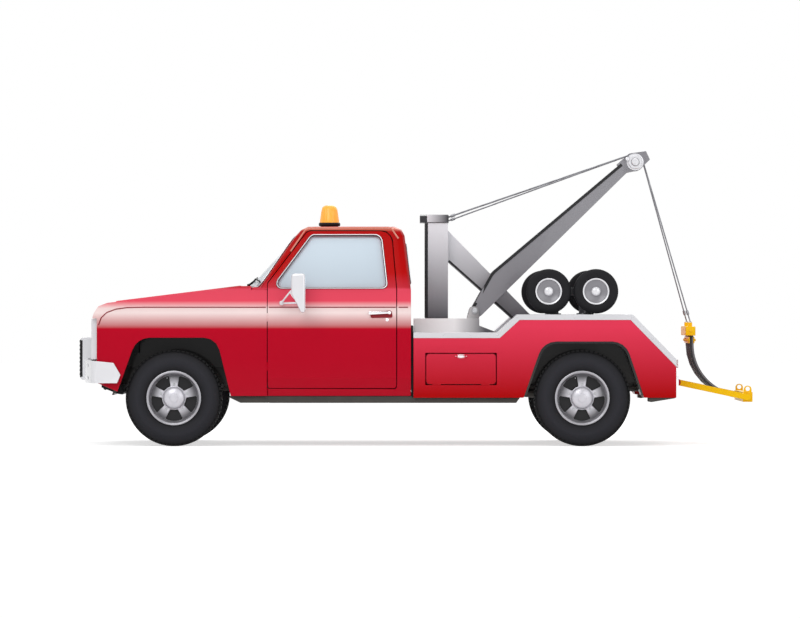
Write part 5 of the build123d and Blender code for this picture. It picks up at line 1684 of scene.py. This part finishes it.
class TOWTRUCK_OT_mast_and_boom(Operator):
    """Build the black strips of painted shade, the covers, bosses and pins of the mast, its stay and the boom
    """

    bl_idname = "tow_truck.mast_and_boom"
    bl_label = "Mast and boom details"

    def execute(self, context):
        # Black strips on the mast's front face and corners: painted shade on the face turned from the light
        form = joined(
            block(at(2.056, -0.173, 1.05), at(2.063, 0.173, 1.838), 0.002),
            block(at(2.056, 0.1675, 1.05), at(2.083, 0.1735, 1.838), 0.002),
            block(at(2.056, -0.1735, 1.05), at(2.083, -0.1675, 1.838), 0.002),
        )
        piece("mast_front_shade_strip", form, "shade_and_grille_black")
        # The head covers carry painted shade, pale at the front and dark at the back
        cover = lambda: side_plate(corners_of(2.076, 2.253, 1.846, 1.908, 0.006), 0.182, 0.1872, 0.0015)
        both_sides("mast_head_cover", cover, "head_painted_shade")
        # A black strip under the stay: painted shade
        edge = stepped(mm((2905, 936), (2762, 1065), (2250, 1519)), 0.2)
        both_sides("stay_shade_strip", lambda: strip(edge, 0.018, lambda x: 0.072, 0.0022), "shade_and_grille_black")
        # A black strip along the top of each boom leg: painted shade on the leg's front face
        upper = rounded(mm((2418, 1082), (2611, 1427, 200), (3694, 2338)), 10)
        both_sides("boom_shade_strip", lambda: strip(upper, 0.024, boom_y, 0.0025), "shade_and_grille_black", "boom")
        both_sides("boom_bosses", boom_bosses, "white_metal", "boom", "light_grey_paint", smooth=35)
        both_sides("boom_welds", boom_welds, "boom", "boom")
        both_sides("pivot_nut", pivot_nut, "steel", slot="dark_grey_paint")
        return {"FINISHED"}


# Lines

LINE_RADIUS = 0.006
LINE_TRACK = 0.0692  # from the sheave's axis to the middle of a line on it
MAST_EXIT = (2.2583, 1.862)
LINE_HALF = 0.03


def rope(path, radius, phase=0.0):
    """A laid wire rope: strands in a helix round a core, along a path of close points."""
    strands, pitch = sizes().rope_strands, sizes().rope_pitch
    ratio = sin(pi / strands)
    strand = radius * ratio / (1 + ratio)
    frames = path_frames(path)
    runs = [0.0]
    for (here, _, _), (following, _, _) in zip(frames, frames[1:]):
        runs.append(runs[-1] + (following - here).length)
    form = tube([here for here, _, _ in frames], radius - 1.6 * strand, 6)
    for k in range(strands):
        points = []
        for (here, a, b), gone in zip(frames, runs):
            turn = tau * (k / strands + gone / pitch + phase)
            points.append(here + (a * cos(turn) + b * sin(turn)) * (radius - strand))
        merged(form, tube(points, strand, 6))
    return form


def clip(radius):
    """A crimped sleeve on a line, standing on Z."""
    wide, wider = radius * 1.8, radius * 1.9
    profile = [(radius, 0), (wide, 0.002), (wider, 0.01), (wider, 0.03), (wide, 0.038), (radius, 0.04)]
    return turned(profile, 16)


def on_sheave(angle):
    """The place in side view of a line's middle on the sheave."""
    return SHEAVE[0] + LINE_TRACK * cos(angle), SHEAVE[1] + LINE_TRACK * sin(angle)


class TOWTRUCK_OT_lines(Operator):
    """Build the laid wire lines from the mast to the boom head and down to the sling"""

    bl_idname = "tow_truck.lines"
    bl_label = "Lines"

    def execute(self, context):
        sx, sz = SHEAVE
        x0, z0 = MAST_EXIT
        first = pi / 2 + atan2(sz + LINE_TRACK - z0, sx - x0)
        touch = on_sheave(first)
        step = sizes().rope_pitch / 9
        form = bmesh.new()
        for y, start, end in ((LINE_HALF, MAST_EXIT, touch), (0.112, (x0, 1.893), (3.748, 2.402))):
            for side in (1, -1):
                path = stepped([at(start[0], side * y, start[1]), at(end[0], side * y, end[1])], step)
                merged(form, rope(path, LINE_RADIUS, 0.1 * side))
                merged(form, clip(LINE_RADIUS), along(path[2], path[12]))
        lines = piece("laid_boom_lines", form, "rope", None, replaces=("boom_lines",), smooth=50)
        at(x0, 0, z0)
        at(touch[0], 0, touch[1])
        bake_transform(lines)
        low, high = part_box("hoist_lines")
        bx, bz = high.x - front_axle, low.z
        last = atan2(bx - sx, sz - bz) - asin(LINE_TRACK / hypot(bx - sx, bz - sz))
        wraps, falls = bmesh.new(), bmesh.new()
        for side in (1, -1):
            y = side * LINE_HALF
            arc = [on_sheave(first + (last - first) * i / 14) for i in range(15)]
            merged(wraps, rope(stepped([at(x, y, z) for x, z in arc], step), LINE_RADIUS))
            leave = on_sheave(last)
            path = stepped([at(leave[0], y, leave[1]), at(bx - 0.004, side * 0.25, bz + 0.006)], step)
            merged(falls, rope(path, LINE_RADIUS, 0.2))
            merged(falls, clip(LINE_RADIUS), along(path[-8], path[-20]))
        piece("sheave_wraps", wraps, "rope", "boom", smooth=50)
        piece("laid_hoist_lines", falls, "rope", "sling", replaces=("hoist_lines",), smooth=50)
        return {"FINISHED"}


BELT_X, BELT_Z, BELT_BEND = 4.702, 0.826, 0.43  # the middle of the belts' bend in side view, and its radius
BELT_PITCH = 0.16
SLING_HALF = 0.312


def belt_spot(angle, inside):
    """The place in side view of a belt's inner face, and the way that it looks."""
    nx, nz = cos(angle), sin(angle)
    reach = BELT_BEND - inside
    return BELT_X - reach * nx, BELT_Z - reach * nz, nx, nz


def belt_face_highlights():
    """A paler strip along the inner face of each belt: a painted highlight."""
    line = [(BELT_X - BELT_BEND + 0.015, 0.895 - 0.023 * k, 1, 0) for k in range(3)]
    line += [belt_spot(radians(1.5 + 82 * k / 25), 0.015) for k in range(26)]
    form = bmesh.new()
    for i in range(4):
        y0 = (i - 1.5) * BELT_PITCH - 0.06
        section = ((y0 + 0.004, -0.001), (y0 + 0.116, -0.001), (y0 + 0.112, 0.0035), (y0 + 0.008, 0.0035))
        shown = [spot for spot in line if spot[0] <= 4.675]
        rings = [[at(x + nx * out, y, z + nz * out) for y, out in section] for x, z, nx, nz in shown]
        merged(form, loft(rings))
    return form


def belt_highlight():
    """A grey strip along the edge of the outer belt: a painted highlight."""
    points = [Vector((BELT_X - BELT_BEND + 0.013, 0.893))]
    points += [Vector(belt_spot(radians(80) * k / 25, 0.013)[:2]) for k in range(1, 26)]
    return strip([p for p in points if p.x < 4.672], 0.009, lambda x: 0.3, 0.0018)


def belt_clamps():
    """The clamp strips on both faces of the belts, with two bolts on each belt."""
    form = bmesh.new()
    for x0, x1, face, facing in ((4.2875, 4.2965, 4.296, REARWARD), (4.2475, 4.2565, 4.248, FORWARD)):
        merged(form, block(at(x0, -SLING_HALF, 0.838), at(x1, SLING_HALF, 0.892), 0.003))
        for y in [(i - 1.5) * BELT_PITCH + off for i in range(4) for off in (-0.035, 0.035)]:
            spot = at(face, y, 0.865)
            merged(form, bolt(sizes().bolt_radius), along(spot, spot + facing))
    return form


def bar_end_cap():
    form = block(at(4.2245, 0.3285, 0.9055), at(4.2995, 0.3345, 0.9745), 0.0025)
    merged(form, bolt(0.009), outward(at(4.262, 0.334, 0.94)))
    return form


class TOWTRUCK_OT_sling(Operator):
    """Build the belts' grey strips of painted highlight, clamp plates, bolts and end caps of the sling"""

    bl_idname = "tow_truck.sling"
    bl_label = "Sling details"

    def execute(self, context):
        piece("belt_face_highlights", belt_face_highlights(), "belt_highlight", "sling")
        both_sides("belt_highlight", belt_highlight, "belt_highlight", "sling")
        piece("belt_clamps", belt_clamps(), "yellow", "sling")
        both_sides("bar_end_cap", bar_end_cap, "yellow", "sling")
        eyes = [[at(x, y, z) for x, z in circle(20, 0.014, 4.262, 1.006)] for y in (-0.25, 0.25)]
        thimbles = joined(*(tube(eye, 0.0045, 8, True) for eye in eyes))
        piece("line_thimbles", thimbles, "steel", "sling", "wire_rope")
        return {"FINISHED"}


CAP_LINE = mm((1985, 911), (2648, 911), (2806, 1056), (3746, 1056), (4080, 713))


def cap_rivets():
    form = bmesh.new()
    for spot in side_line(("deck_plates",), CAP_LINE, 0.0, 0.24)[1:-1]:
        head = turned(mm((0, 0), (7.5, 0), (6.5, 2.8), (3, 4.2), (0, 4.4)), 14)
        merged(form, head, outward(spot))
    return form


def toolbox_latch():
    """An oval paddle in its oval frame."""
    face = face_out("toolbox_door_right", 2.4, 0.64)
    form = side_plate(circle(40, 0.046, 2.3485, 0.737, 0.015), face - 0.002, face + 0.012, 0.004)
    merged(form, side_plate(circle(32, 0.03, 2.3485, 0.737, 0.0075), face + 0.01, face + 0.0185, 0.003))
    return form


def toolbox_seal():
    face = face_out("toolbox_door_right", 2.1, 0.64)
    outline = corners_of(2.064, 2.633, 0.509, 0.757, 0.018)
    hole = corners_of(2.0655, 2.6315, 0.5105, 0.7555, 0.017)
    return side_plate(outline, face - 0.006, face + 0.0008, 0.0003, [hole])


class TOWTRUCK_OT_bed(Operator):
    """Build the deck's tread plate and the rivets, latches, door lines and blank plate of the body"""

    bl_idname = "tow_truck.bed"
    bl_label = "Bed details"

    def execute(self, context):
        corners = [v.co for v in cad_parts["deck_plates"].data.vertices]
        deck_end = max(p.x for p in corners if abs(p.y) < 0.56 and 0.9 < p.z < 0.93)
        deck = block(at(2.66, -0.552, 0.9255), Vector((deck_end - 0.006, 0.552, 0.929)), 0.001)
        piece("tread_plate", deck, "deck")
        both_sides("cap_rivets", cap_rivets, "cap")
        both_sides("toolbox_latch", toolbox_latch, "chrome", "toolbox_door_{}")
        both_sides("toolbox_seal", toolbox_seal, "line_red", "toolbox_door_{}")
        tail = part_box("tail_panel")[1].x - front_axle + 0.003
        plate = end_plate(corners_of(-0.155, 0.155, 0.56, 0.7, 0.01), tail, 0.003, 1, 0.001)
        piece("rear_plate_blank", plate, "white_metal")
        return {"FINISHED"}


# Cabin


def settled_mesh(target):
    """The mesh of an object with its modifiers applied."""
    view = target.evaluated_get(bpy.context.evaluated_depsgraph_get())
    return bpy.data.meshes.new_from_object(view)


def stuffed(form, voxel, reach):
    """A form remeshed and blown up as stuffed cloth, no point moved further than reach."""
    mesh = bpy.data.meshes.new("pad")
    form.to_mesh(mesh)
    form.free()
    pad = bpy.data.objects.new("pad", mesh)
    scene = bpy.context.scene
    scene.collection.objects.link(pad)
    remesh = pad.modifiers.new("Remesh", "REMESH")
    remesh.mode = "VOXEL"
    remesh.voxel_size = voxel
    skin_mesh = settled_mesh(pad)
    pad.modifiers.clear()
    pad.data = skin_mesh
    cloth = pad.modifiers.new("Cloth", "CLOTH")
    cloth.settings.use_pressure = True
    cloth.settings.uniform_pressure_force = 4
    cloth.settings.effector_weights.gravity = 0
    for step in range(1, 21):
        scene.frame_set(step)
    blown = settled_mesh(pad)
    for rest, moving in zip(skin_mesh.vertices, blown.vertices):
        away = moving.co - rest.co
        if away.length > reach:
            away *= reach / away.length
        rest.co = rest.co + away
    pad.modifiers.clear()
    scene.frame_set(1)
    made = bmesh.new()
    made.from_mesh(skin_mesh)
    bmesh.ops.subdivide_edges(made, edges=made.edges[:], cuts=1, use_grid_fill=True, smooth=0.0)
    bpy.data.objects.remove(pad)
    return made


def sewn(form, seams, deep, wide):
    """Channels pressed into a pad along lines of one y each."""
    form.normal_update()
    for vert in form.verts:
        near = min(abs(vert.co.y - seam) for seam in seams)
        vert.co -= vert.normal * deep * exp(-((near / wide) ** 2))


SEAT_HALF = 0.772
CUSHION = mm((1302, 866, 30), (1302, 985, 45), (1500, 974, 300), (1735, 960, 30), (1735, 866, 20))
BACKREST = mm((1742, 985, 30), (1806, 1490, 26), (1852, 1490, 20), (1852, 900, 20), (1770, 900, 20))


def tucked(corners, y, tuck):
    """A pad's rounded outline at y, drawn in by tuck."""
    loop = rounded(corners, 6)
    return [at(p.x, y, p.y) for p in inset_loop(loop if loop_area(loop) > 0 else loop[::-1], tuck)]


class TOWTRUCK_OT_seat(Operator):
    """Build the bench seat: padded cushion and back with sewn channels, piping and a plinth"""

    bl_idname = "tow_truck.seat"
    bl_label = "Bench seat"

    def execute(self, context):
        half = SEAT_HALF
        ends = ((-half, 0.012), (-half + 0.012, 0.002), (half - 0.012, 0.002), (half, 0.012))
        channels = [(k - 5.5) * 0.125 for k in range(12)]
        for name, outline, replaced in (("cushion", CUSHION, ("bench_seat",)), ("backrest", BACKREST, ())):
            form = stuffed(loft([tucked(outline, y, tuck) for y, tuck in ends]), 0.012, 0.01)
            sewn(form, channels, 0.006, 0.009)
            pad = piece(f"bench_{name}", form, "vinyl", replaces=replaced, smooth=80)
        form = joined(
            block(at(1.345, -0.695, 0.692), at(1.795, 0.695, 0.852), 0.012),
            block(at(1.33, -0.7, 0.846), at(1.8, 0.7, 0.864), 0.006),
        )
        for y in (-0.5, 0.0, 0.5):
            merged(form, block(at(1.338, y - 0.09, 0.71), at(1.35, y + 0.09, 0.82), 0.006))
        piece("seat_plinth", form, "plastic")
        piping = [tube(tucked(CUSHION, y, 0.006), 0.0045, 8, True) for y in (0.004 - half, half - 0.004)]
        piece("seat_piping", joined(*piping), "trim")
        return {"FINISHED"}


def dial(radius):
    """A round instrument standing on Z: bezel, face, ticks and needle."""
    profile = [(0, 0), (radius, 0), (radius * 1.1, 0.002), (radius * 1.12, 0.01), (radius * 1.02, 0.012)]
    form = turned(profile + [(radius, 0.005), (0, 0.004)], 40)
    for i in range(11):
        spoke = Matrix.Rotation(radians(225 - 27 * i), 4, "Z") @ shifted((radius * 0.86, 0, 0.005))
        merged(form, block((-radius * 0.08, -0.0008, 0), (radius * 0.08, 0.0008, 0.0012)), spoke)
    needle = block((-radius * 0.12, -0.0012, 0), (radius * 0.75, 0.0012, 0.0015))
    merged(form, needle, Matrix.Rotation(2.2, 4, "Z") @ shifted((0, 0, 0.006)))
    return form


def dash_face(y, z, off=0.0):
    """The placement at a spot on the dashboard's leaning face, Z looking out, off metres proud of it."""
    lean = Matrix.Rotation(pi / 2 + atan2(0.04, 0.17), 4, "Y")
    return shifted(at(0.892 + (z - 1.01) * 0.235, y, z)) @ lean @ shifted((0, 0, off))


def dash_fittings():
    """The instrument block under its hood, vents, radio, lid and pedals."""
    form = moved(block((-0.07, -0.19, -0.006), (0.07, 0.19, 0.01), 0.006), dash_face(-0.4, 1.1))
    merged(form, block(at(0.86, -0.59, 1.176), at(0.965, -0.21, 1.192), 0.007))
    for y in (-0.78, -0.13, 0.13, 0.78):
        merged(form, block((-0.03, -0.062, -0.004), (0.03, 0.062, 0.009), 0.004), dash_face(y, 1.125))
        for i in range(5):
            x = -0.024 + 0.011 * i
            merged(form, block((x, -0.054, 0.008), (x + 0.004, 0.054, 0.013), 0.0005), dash_face(y, 1.125))
    merged(form, block((-0.03, -0.095, -0.004), (0.03, 0.095, 0.012), 0.004), dash_face(0.0, 1.052))
    for y in (-0.08, 0.08):
        merged(form, turned(mm((0, 0), (13, 0), (12, 18), (0, 18)), 20), dash_face(y, 1.052, 0.012))
    merged(form, block((-0.06, -0.17, -0.004), (0.055, 0.17, 0.006), 0.004), dash_face(0.46, 1.085))
    for y in (-0.52, -0.42, -0.3):
        pedal = block((-0.045, -0.026, -0.008), (0.045, 0.026, 0.006), 0.005)
        merged(form, pedal, along(at(0.76, y, 0.775), at(0.86, y, 0.825)))
        merged(form, tube([at(0.762, y, 0.78), at(0.735, y, 0.86), at(0.725, y, 0.96)], 0.008, 10))
    return form


class TOWTRUCK_OT_dashboard(Operator):
    """Build the instruments, vents, radio block, glove box lid, pedals, inner mirror and visors"""

    bl_idname = "tow_truck.dashboard"
    bl_label = "Dashboard and controls"

    def execute(self, context):
        piece("dash_fittings", dash_fittings(), "plastic")
        dials = bmesh.new()
        for y, radius in ((-0.475, 0.046), (-0.355, 0.046), (-0.415, 0.02), (-0.29, 0.02)):
            merged(dials, dial(radius), dash_face(y, 1.1, 0.01))
        piece("dials", dials, "white_metal", slot="black_plastic")
        mirror = block(at(1.118, -0.125, 1.6), at(1.14, 0.125, 1.662), 0.009, 3)
        merged(mirror, tube([at(1.122, 0, 1.64), at(1.105, 0, 1.7), at(1.11, 0, 1.742)], 0.008, 12))
        piece("inner_mirror", mirror, "plastic")
        visor = lambda: block(at(1.12, 0.14, 1.712), at(1.29, 0.64, 1.726), 0.006, 3)
        both_sides("sun_visor", visor, "trim")
        return {"FINISHED"}


class TOWTRUCK_OT_steering_wheel(Operator):
    """Build the steering wheel: grip ring, dished spokes, boss and horn pad"""

    bl_idname = "tow_truck.steering_wheel"
    bl_label = "Steering wheel"

    def execute(self, context):
        foot, hub = at(0.712, -0.4, 0.907), at(1.075, -0.4, 1.123)
        seat = along(hub, hub + (hub - foot))
        radius, grip, bump = 0.19, 0.0115, 0.0009
        rings = []
        for i, (x, y) in enumerate(circle(96)):
            ring = []
            for u, v in circle(14):
                reach = grip + (bump * cos(tau * i / 4) if v < 0 else 0)
                ring.append(Vector((x, y, 0)) * (radius + reach * u) + Vector((0, 0, reach * v)))
            rings.append(ring)
        form = loft(rings + [rings[0]], caps=False)
        bmesh.ops.remove_doubles(form, verts=form.verts[:], dist=1e-6)
        for turn in (0, pi, -pi / 2):
            spoke = []
            for x, half, low, high in (
                (0.03, 0.026, -0.016, -0.004),
                (0.11, 0.017, -0.012, -0.003),
                (0.184, 0.015, -0.004, 0.003),
            ):
                slim = half - 0.002
                spoke.append([(x, -half, low), (x, half, low), (x, slim, high), (x, -slim, high)])
            merged(form, loft(spoke), Matrix.Rotation(turn, 4, "Z"))
        boss = mm((0, -27), (36, -27), (40, -14), (50, -8), (48, 4), (36, 10))
        merged(form, turned(boss + [(0.0, 0.012)], 40))
        merged(form, block((-0.085, -0.024, -0.006), (0.085, 0.024, 0.008), 0.007, 3))
        world_y = seat.to_3x3().inverted() @ Vector((0, 1, 0))
        form.transform(seat @ Matrix.Rotation(atan2(world_y.y, world_y.x), 4, "Z"))
        piece("steering_grip", form, "plastic", "steering_wheel", replaces=("steering_wheel",), smooth=60)
        return {"FINISHED"}


class TOWTRUCK_OT_door_cards(Operator):
    """Build the inner door panels with armrests, pulls and window winders"""

    bl_idname = "tow_truck.door_cards"
    bl_label = "Door cards"

    def execute(self, context):
        y = laid(DOOR, [at(1.3, 0.3, 0.9)], -INWARD)[0].y
        outline = mm((870, 620, 50), (870, 1190, 40), (1735, 1190, 40), (1735, 560, 50))
        outline += [(0.98, 0.56, 0.05)]

        def card():
            form = side_plate(outline, y - 0.006, y + 0.001, 0.002)
            for z in (0.7, 0.76):
                merged(form, tube([at(0.9, y - 0.007, z), at(1.7, y - 0.007, z)], 0.004, 8))
            merged(form, block(at(1.23, y - 0.06, 0.962), at(1.56, y - 0.004, 0.998), 0.014, 3))
            return form

        def winder():
            hub = at(1.12, y - 0.006, 0.9)
            near = lambda a, b, c: hub + Vector((a, b, c))
            foot = turned(mm((0, 0), (24, 0), (22, 10), (12, 16), (0, 16)), 24)
            form = moved(foot, along(hub, hub + INWARD))
            crank = [near(0, -0.014, 0), near(0.045, -0.024, 0.03), near(0.08, -0.024, 0.052)]
            merged(form, tube(crank, 0.006, 10))
            merged(form, bar_part(near(0.08, -0.02, 0.052), near(0.08, -0.045, 0.052), 0.01))
            merged(form, block(near(0.45, -0.012, 0.168), near(0.55, 0.0, 0.192), 0.005))
            return form

        both_sides("door_card", card, "trim", "door_{}")
        both_sides("window_winder", winder, "chrome", "door_{}")
        return {"FINISHED"}


def air_cleaner():
    """A round air cleaner with its snorkel."""
    profile = mm((0, 0), (150, 0), (172, 10), (172, 50), (165, 62), (20, 70), (16, 85))
    form = moved(turned(profile + [(0, 0.086)], 56), shifted(at(-0.03, 0, 1.018)))
    merged(form, tube([at(-0.19, 0.05, 1.045), at(-0.26, 0.1, 1.045), at(-0.33, 0.18, 1.035)], 0.03, 18))
    return form


def rocker_covers():
    """Two ribbed covers with their bolts."""
    form = bmesh.new()
    for y in (-0.205, 0.205):
        cover = block((-0.3, -0.055, 0), (0.3, 0.055, 0.05), 0.016, 3)
        merged(form, cover, shifted(at(0.01, y, 1.006)))
        for k in range(7):
            rib = block((-0.004, -0.045, 0.048), (0.004, 0.045, 0.054), 0.001)
            merged(form, rib, shifted(at(-0.2 + 0.07 * k, y, 1.006)))
        for x in (-0.24, 0.26):
            merged(form, bolt(0.007), shifted(at(x, y, 1.056)))
    return form


def fan_and_pulleys():
    """A six-blade fan in front of four pulleys."""
    form = bmesh.new()
    for k in range(6):
        blade = block((0.04, -0.034, -0.002), (0.205, 0.034, 0.002), 0.001)
        merged(form, blade, Matrix.Rotation(tau * k / 6, 4, "Z") @ Matrix.Rotation(radians(28), 4, "X"))
    merged(form, turned(mm((0, -30), (48, -30), (50, 10), (30, 20), (0, 22)), 28))
    form.transform(along(at(-0.4, 0, 0.78), at(-0.45, 0, 0.78)))
    for y, z, radius in ((0, 0.78, 0.075), (0.17, 0.88, 0.05), (-0.18, 0.86, 0.055), (0, 0.6, 0.08)):
        profile = [(0, 0), (radius, 0), (radius * 0.9, 0.008), (radius, 0.016), (radius, 0.02), (0, 0.02)]
        merged(form, turned(profile, 32), along(at(-0.332, y, z), at(-0.36, y, z)))
    return form


def radiator():
    """The radiator's core with its fins and cap."""
    form = block(at(-0.556, -0.36, 0.56), at(-0.515, 0.36, 0.985), 0.006)
    for k in range(34):
        z = 0.58 + 0.0115 * k
        merged(form, block(at(-0.5585, -0.34, z), at(-0.5125, 0.34, z + 0.003)))
    merged(form, bar_part(at(-0.535, 0.2, 0.985), at(-0.535, 0.2, 1.015), 0.025, 24, 0.003))
    return form


def battery():
    form = block(at(-0.48, -0.62, 0.76), at(-0.3, -0.45, 0.96), 0.008)
    for x in (-0.445, -0.335):
        merged(form, bar_part(at(x, -0.535, 0.958), at(x, -0.535, 0.978), 0.01, 16, 0.002))
    return form


class TOWTRUCK_OT_engine_bay(Operator):
    """Build the air cleaner, rocker covers, fan, radiator core and battery"""

    bl_idname = "tow_truck.engine_bay"
    bl_label = "Engine bay"

    def execute(self, context):
        piece("air_cleaner", air_cleaner(), "black")
        piece("rocker_covers", rocker_covers(), "chrome", slot="cast_iron")
        piece("fan_and_pulleys", fan_and_pulleys(), "steel", slot="cast_iron")
        piece("radiator", radiator(), "black")
        piece("battery", battery(), "plastic")
        return {"FINISHED"}


# Stage

WORLD_LIGHT = 0.5
IMAGE_WIDTH = 800
PIXEL = 0.008166
CAMERA_AWAY = 41.0
BODY_SIDE = 1.0  # where the picture's scale holds, out from the centre line
IMAGE_CENTRE = (1.85, 1.123)


def seen_directly(tree):
    """One where the camera sees a surface itself, in a reflection or through glass, and nought elsewhere."""
    path = tree.nodes.new("ShaderNodeLightPath")
    rays = [path.outputs[f"Is {kind} Ray"] for kind in ("Camera", "Glossy", "Transmission")]
    return plus(tree, plus(tree, rays[0], rays[1], clamp=True), rays[2], clamp=True)


def stage_material():
    pale = {"Base Color": (0.86, 0.86, 0.86), "Specular IOR Level": 0.0, "Emission Color": (1, 1, 1)}
    material, tree, shader = blank("Pale floor", 0.9, more=pale)
    link(times(tree, seen_directly(tree), 0.6), shader.inputs["Emission Strength"])
    return material


def white_world():
    world = bpy.data.worlds.new("Plain studio")
    bpy.context.scene.world = world
    world.use_nodes = True
    tree = world.node_tree
    back = tree.nodes["Background"]
    link((1, 1, 1), back.inputs["Color"])
    strength = plus(tree, times(tree, seen_directly(tree), 1.0 - WORLD_LIGHT), WORLD_LIGHT)
    link(strength, back.inputs["Strength"])


class TOWTRUCK_OT_stage(Operator):
    """Build the floor, lights and side-view camera"""

    bl_idname = "tow_truck.stage"
    bl_label = "Stage"

    def execute(self, context):
        scene = context.scene

        def placed(name, data):
            made = bpy.data.objects.new(name, data)
            scene.collection.objects.link(made)
            return made

        form = bmesh.new()
        bmesh.ops.create_grid(form, x_segments=1, y_segments=1, size=60)
        mesh = bpy.data.meshes.new("floor")
        form.to_mesh(mesh)
        form.free()
        mesh.materials.append(stage_material())
        placed("floor", mesh)
        white_world()
        for name, spot, size, power in (
            ("key", (-4.0, -9.0, 8.0), 7.0, 430.0),
            ("fill", (6.0, -9.0, 4.0), 6.0, 150.0),
            ("back", (2.0, 9.0, 7.0), 7.0, 300.0),
            ("top", (0.0, 0.0, 10.0), 8.0, 220.0),
        ):
            light = bpy.data.lights.new(name, "AREA")
            light.size = size
            light.energy = power
            lamp = placed(name, light)
            lamp.location = spot
            lamp.rotation_euler = (Vector((0, 0, 0.9)) - Vector(spot)).to_track_quat("-Z", "Y").to_euler()
        camera = bpy.data.cameras.new("side view")
        camera.lens = camera.sensor_width * (CAMERA_AWAY - BODY_SIDE) / (IMAGE_WIDTH * PIXEL)
        camera.clip_end = 200
        eye = placed("side view", camera)
        eye.location = at(IMAGE_CENTRE[0], -CAMERA_AWAY, IMAGE_CENTRE[1])
        eye.rotation_euler = (pi / 2, 0, 0)
        scene.camera = eye
        scene.view_settings.view_transform = "Standard"
        return {"FINISHED"}


OPERATORS = (
    TOWTRUCK_OT_finishes,
    TOWTRUCK_OT_road_wheels,
    TOWTRUCK_OT_dolly_wheels,
    TOWTRUCK_OT_window_trim,
    TOWTRUCK_OT_body_lines,
    TOWTRUCK_OT_lamps,
    TOWTRUCK_OT_beacon,
    TOWTRUCK_OT_mirrors,
    TOWTRUCK_OT_nose,
    TOWTRUCK_OT_mast_and_boom,
    TOWTRUCK_OT_lines,
    TOWTRUCK_OT_sling,
    TOWTRUCK_OT_bed,
    TOWTRUCK_OT_seat,
    TOWTRUCK_OT_dashboard,
    TOWTRUCK_OT_steering_wheel,
    TOWTRUCK_OT_door_cards,
    TOWTRUCK_OT_engine_bay,
    TOWTRUCK_OT_stage,
)


class TOWTRUCK_PT_dressing(Panel):
    """Lists the settings and the steps of the dressing"""

    bl_label = "Tow truck dressing"
    bl_idname = "TOWTRUCK_PT_dressing"
    bl_space_type = "VIEW_3D"
    bl_region_type = "UI"
    bl_category = "Tow Truck"

    def draw(self, context):
        for settings in (colours(), sizes()):
            box = self.layout.box()
            for name in settings.__annotations__:
                box.prop(settings, name)
        for operator in OPERATORS:
            self.layout.operator(operator.bl_idname)


CLASSES = (TruckColours, TruckSizes, *OPERATORS, TOWTRUCK_PT_dressing)


def register():
    for each in CLASSES:
        bpy.utils.register_class(each)
    bpy.types.Scene.tow_truck_colours = PointerProperty(type=TruckColours)
    bpy.types.Scene.tow_truck_sizes = PointerProperty(type=TruckSizes)


def unregister():
    del bpy.types.Scene.tow_truck_sizes
    del bpy.types.Scene.tow_truck_colours
    for each in reversed(CLASSES):
        bpy.utils.unregister_class(each)


def main():
    register()
    for operator in OPERATORS:
        group, name = operator.bl_idname.split(".")
        getattr(getattr(bpy.ops, group), name)()


if __name__ == "__main__":
    main()
